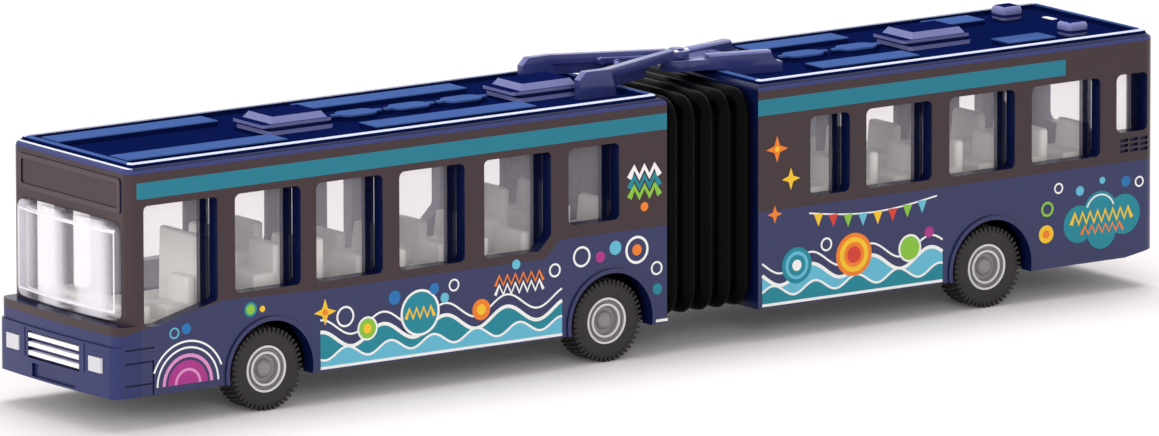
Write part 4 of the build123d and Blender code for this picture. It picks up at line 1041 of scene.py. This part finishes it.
def lay(shapes, side):
    """Flat shapes, as (ink, layer, (points, faces)), made thin solids on one side of the bus."""
    points, faces, inks = [], [], []
    for ink, level, (flat, cells) in shapes:
        base, n = len(points), len(flat)
        points += [(x, side * (SIDE_Y - INK_FOOT), z) for x, z in flat]
        points += [(x, side * (SIDE_Y + INK_STEP * (level + 1)), z) for x, z in flat]
        edges = {}
        for cell in cells:
            faces.append(tuple(base + i for i in cell))
            faces.append(tuple(base + n + i for i in cell))
            for a, b in zip(cell, cell[1:] + cell[:1]):
                edges[frozenset((a, b))] = None if frozenset((a, b)) in edges else (a, b)
        outline = [edge for edge in edges.values() if edge]
        walls = [(base + a, base + b, base + n + b, base + n + a) for a, b in outline]
        faces += walls
        inks += [INK_ORDER.index(ink)] * (2 * len(cells) + len(walls))
    return points, faces, inks


SKIRT_Z = 5.0
WAVE_MM = 10.5


def sea(low, high, first, second):
    """Two overlapping bands of waves along the skirt with white crests."""
    tall = swell(low, high, 8.9, 1.25, WAVE_MM)
    short = swell(low, high, 6.9, 0.8, 7.3, 0.3)
    return [(first, 0, strip(tall, [(x, SKIRT_Z) for x, z in tall])),
            (second, 1, strip(short, [(x, SKIRT_Z) for x, z in short])),
            ("white", 0.5, ribbon(tall, 0.5)), ("white", 1.5, ribbon(short, 0.32)),
            ("white", 0, ribbon(swell(low, high, 10.6, 1.25, WAVE_MM), 0.28)),
            ("white", 2, ribbon([(low, SKIRT_Z + 0.05), (high, SKIRT_Z + 0.05)], 0.4))]


# Shapes, as (ink, layer, form). A layer between two whole ones keeps inks that overlap out of one plane.
FRONT_PRINTS = [
    ("magenta", 1, patch(circle(77.4, 5.6, 3.3, 0, 180, 24))), ("pink", 0, ring(77.4, 5.6, 4.2, 0.5, 0, 180)),
    ("white", 0, ring(77.4, 5.6, 5.2, 0.28, 0, 180)), ("white", 0, ring(77.4, 5.6, 6.1, 0.28, 20, 160)),
    ("pink", 2, ring(77.4, 5.6, 2.2, 0.4, 0, 180)), ("blue", 0, disc(77.6, 13.3, 0.75)),
    ("sky", 0, ring(79.6, 12.9, 0.8, 0.22)), ("green", 0, disc(66.9, 14.75, 1.05)),
    ("teal", 1, ring(66.9, 14.75, 1.05, 0.3)), ("yellow", 0, disc(64.9, 14.6, 0.45)),
    ("yellow", 0.4, sparkle(54.4, 12.9, 1.9)), ("orange", 1, disc(54.4, 12.9, 0.45)),
    ("white", 0, ring(51.0, 11.9, 1.5, 0.3)), ("green", 2, disc(47.3, 9.8, 1.7)),
    ("white", 3, ring(47.3, 9.8, 1.7, 0.28)), ("yellow", 3, disc(47.3, 9.8, 0.7)),
    ("teal", 2, disc(38.4, 11.0, 3.3)), ("white", 3, ring(38.4, 11.0, 3.3, 0.35)),
    ("yellow", 3, ribbon(zigzag(36.0, 40.8, 11.0, 0.7, 4), 0.55)), ("blue", 4, disc(36.0, 14.1, 0.8)),
    ("blue", 2, disc(42.7, 13.6, 1.0)), ("sky", 2, disc(34.2, 12.6, 0.7)),
    ("white", 0, ring(32.6, 14.2, 0.9, 0.25)), ("orange", 2, disc(28.0, 10.2, 1.5)),
    ("yellow", 3, disc(28.0, 10.2, 0.75)), ("white", 2, ribbon(zigzag(17.4, 25.6, 12.6, 0.7, 6), 0.45)),
    ("orange", 2, ribbon(zigzag(17.4, 25.6, 13.9, 0.7, 6), 0.42)), ("sky", 0, disc(22.0, 15.9, 0.7)),
    ("white", 0, ring(15.4, 14.3, 1.0, 0.28)), ("white", 0, ring(10.8, 15.7, 1.5, 0.32)),
    ("magenta", 0, disc(7.6, 15.3, 0.8)), ("sky", 0, disc(5.0, 16.3, 1.0)),
    ("white", 0, ring(1.3, 15.6, 2.0, 0.38)), ("orange", 0, disc(1.3, 15.6, 0.8)),
    ("white", 0, ring(-2.1, 12.6, 1.0, 0.28)), ("teal", 0, disc(-2.2, 9.6, 0.8)),
    ("white", 0, ribbon([(-4.0, SKIRT_Z + 0.05), (-1.9, SKIRT_Z + 0.05)], 0.4)),
    ("white", 0, ribbon(zigzag(-2.6, 2.6, 26.6, 0.75, 3), 0.9)),
    ("teal", 0.5, ribbon(zigzag(-2.6, 2.6, 25.2, 0.75, 3), 0.9)),
    ("green", 1, ribbon(zigzag(-2.6, 2.6, 23.8, 0.75, 3), 0.9)), ("orange", 0, disc(0.0, 21.6, 0.65))]
REAR_PRINTS = [
    ("orange", 0, sparkle(-23.0, 27.2, 1.9)), ("yellow", 0, sparkle(-25.4, 22.7, 1.6)),
    ("orange", 0, sparkle(-22.6, 17.9, 1.3)), ("yellow", 1, disc(-23.0, 27.2, 0.4)),
    ("teal", 2, disc(-26.4, 10.2, 2.6)), ("sky", 3, ring(-26.4, 10.2, 2.0, 0.5)),
    ("white", 3, disc(-26.4, 10.2, 0.8)), ("orange", 2, disc(-36.4, 10.6, 3.1)),
    ("yellow", 3, ring(-36.4, 10.6, 2.5, 0.7)), ("red", 3, disc(-36.4, 10.6, 1.2)),
    ("green", 2, disc(-46.2, 10.4, 2.0)), ("white", 3, ring(-46.2, 10.4, 2.0, 0.3)),
    ("magenta", 2, disc(-49.6, 12.3, 0.8)), ("white", 0, ring(-31.6, 12.6, 1.0, 0.28)),
    ("green", 0, ring(-70.6, 13.2, 1.1, 0.35)), ("yellow", 0, disc(-70.4, 9.6, 1.3)),
    ("orange", 1, disc(-70.4, 9.6, 0.6)), ("white", 0, ring(-72.6, 16.0, 0.8, 0.25)),
    ("teal", 0, disc(-76.2, 10.4, 2.7)), ("teal", 1, disc(-80.0, 11.8, 3.0)),
    ("teal", 2, disc(-84.2, 11.0, 2.9)), ("teal", 3, disc(-80.2, 9.0, 2.6)),
    ("blue", 0, disc(-84.6, 15.7, 0.8)), ("sky", 0, disc(-76.4, 15.2, 0.7)),
    ("white", 0, ring(-87.0, 15.4, 0.8, 0.25)), ("sky", 0, disc(-80.4, 16.3, 0.5)),
    ("yellow", 4, ribbon(zigzag(-85.6, -74.8, 11.2, 0.8, 8), 0.6)),
    ("white", 4, ring(-80.0, 11.8, 2.6, 0.22, 20, 160)),
    ("orange", 4.5, ribbon(zigzag(-84.0, -76.6, 9.4, 0.6, 6), 0.42))]
FLAG_INKS = ("yellow", "red", "green", "sky")
STRING_X, STRING_Z, STRING_LONG, SAG = -28.6, 17.4, 22.4, 1.1


def on_string(x):
    """A point of the string of flags, which sags between its ends."""
    return x, STRING_Z - SAG * math.sin(math.pi * (STRING_X - x) / STRING_LONG)


REAR_PRINTS.append(("white", 0, ribbon([on_string(STRING_X - 0.8 * i) for i in range(29)], 0.22)))
for i in range(8):
    x, z = on_string(-30.2 - 2.6 * i)
    REAR_PRINTS.append((FLAG_INKS[i % 4], 1, patch([(x + 0.8, z), (x - 0.8, z), (x, z - 1.8)])))


def clear_of(shapes, gaps):
    """Leaves out shapes that would come within 0.3 mm of a door."""
    kept = []
    for shape in shapes:
        places = [p[0] for p in shape[2][0]]
        if not any(min(places) < high + 0.3 and max(places) > low - 0.3 for low, high in gaps):
            kept.append(shape)
    return kept


# The doors of the far side, as (rear x, front x)
DOORS = ((73.0, 85.0), (30.2, 42.3), (-50.4, -38.3), (-80.2, -68.1))
TAIL = (-90.0, -80.0)
near_front = FRONT_PRINTS + sea(14.2, 55.2, "teal", "sky")
near_rear = REAR_PRINTS + sea(-52.0, -20.4, "sky", "teal")
far_front = clear_of(FRONT_PRINTS, DOORS) + sea(42.8, 55.2, "teal", "sky") + sea(14.2, 29.6, "teal", "sky")
far_rear = clear_of(REAR_PRINTS, DOORS + (TAIL,)) + sea(-37.6, -20.4, "sky", "teal")
for name, shapes, side, body in (("front_print_left", near_front, 1, "front_section"),
                                 ("rear_print_left", near_rear, 1, "rear_section"),
                                 ("front_print_right", far_front, -1, "front_section"),
                                 ("rear_print_right", far_rear, -1, "rear_section")):
    piece = add_print(name, *lay(shapes, side))
    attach(piece, body)
    print(name, len(shapes), "shapes")

# %% [markdown]
# ## Studio
#
# The toy stands on a plain pale floor under a soft white room, with one large soft lamp above and behind.
# The camera looks through a very long lens, which keeps far and near ends nearly the same size. What the
# camera sees of the floor is lifted by a little light of its own, so that it comes near to the white room.

# %% Floor and room
FLOOR_HALF, FLOOR_LIFT = 4, 0.03
ROOM_LIGHT = 0.5


def seen(tree):
    """1 for rays that carry the view: straight from the camera, mirrored, or through a clear pane."""
    path = node(tree, "ShaderNodeLightPath", {}).outputs
    return reckon(tree, "MAXIMUM", path["Is Camera Ray"], path["Is Glossy Ray"], path["Is Transmission Ray"])


corners = [(x * FLOOR_HALF, y * FLOOR_HALF, 0) for x, y in ((-1, -1), (1, -1), (1, 1), (-1, 1))]
floor_mesh = bpy.data.meshes.new("floor")
floor_mesh.from_pydata(corners, [], [(0, 1, 2, 3)])
floor = linked("floor", floor_mesh)
# Uncoated paper is matt: the light spreads evenly, with a faint pink tint
paper = finish("pale paper sweep", "#faf4f4", 0.9, 0.6, 0.01, spread=0.03, shine=0.05)
floor_mesh.materials.append(paper)
tree = paper.node_tree
lift = node(tree, "ShaderNodeEmission", {"Color": paint("#ffffff"), "Strength": 1.0})
shown = node(tree, "ShaderNodeMixShader", {
    0: reckon(tree, "MULTIPLY", seen(tree), FLOOR_LIFT), 1: tree.nodes["Principled BSDF"].outputs[0],
    2: lift.outputs[0]})
tree.links.new(shown.outputs[0], tree.nodes["Material Output"].inputs["Surface"])

world = bpy.data.worlds.new("soft white room")
scene.world = world
world.use_nodes = True
room = world.node_tree
room.nodes.clear()
light = node(room, "ShaderNodeBackground", {"Color": paint("#ffffff"), "Strength": ROOM_LIGHT})
white = node(room, "ShaderNodeBackground", {"Color": paint("#ffffff"), "Strength": 1.0})
both = node(room, "ShaderNodeMixShader", {0: seen(room), 1: light.outputs[0], 2: white.outputs[0]})
node(room, "ShaderNodeOutputWorld", {"Surface": both.outputs[0]})
print("floor in metres:", 2 * FLOOR_HALF, "by", 2 * FLOOR_HALF)

# %% Lamps and camera
# The toy's middle, at which the lamps point, and the place at which the camera looks
LAMP_AIM = (0, 0, 0.02)
CAMERA_AIM = (0.8, 0.0, 17.8)
# The photograph is 1159 pixels wide, and its lens is as long as 17881 of them
PHOTO_WIDTH, FOCAL_LENGTH, SENSOR = 1159, 17881, 36.0
CAMERA_FAR = 2.5126


def lamp(name, position, size, watts):
    data = bpy.data.lights.new(name, "AREA")
    data.shape = "DISK"
    data.size = size
    data.energy = watts
    obj = linked(name, data)
    obj.location = position
    obj.visible_glossy = False
    obj.rotation_mode = "QUATERNION"
    obj.rotation_quaternion = (Vector(LAMP_AIM) - Vector(position)).to_track_quat("-Z", "Y")


lamp("softbox above and behind", (-0.16, -0.16, 0.8), 0.6, 4.6)
lamp("fill from the camera side", (0.35, 0.75, 0.35), 0.4, 1.8)
lamp("fill from the front", (0.85, 0.12, 0.3), 0.45, 2.6)

azimuth, elevation, roll = (math.radians(a) for a in (144.463, 10.948, -0.099))
back = Vector((math.sin(azimuth) * math.cos(elevation), -math.cos(azimuth) * math.cos(elevation),
               math.sin(elevation)))
camera_data = bpy.data.cameras.new("long lens")
camera_data.sensor_width = SENSOR
camera_data.lens = FOCAL_LENGTH / PHOTO_WIDTH * SENSOR
camera_data.clip_start, camera_data.clip_end = 0.1, 20.0
camera = linked("camera", camera_data)
camera.rotation_mode = "QUATERNION"
camera.location = Vector(CAMERA_AIM) * MM + back * CAMERA_FAR
camera.rotation_quaternion = (-back).to_track_quat("-Z", "Y") @ Matrix.Rotation(roll, 3, "Z").to_quaternion()
scene.camera = camera
scene.view_settings.view_transform = "Standard"
print("camera at", [round(c, 3) for c in camera.location])
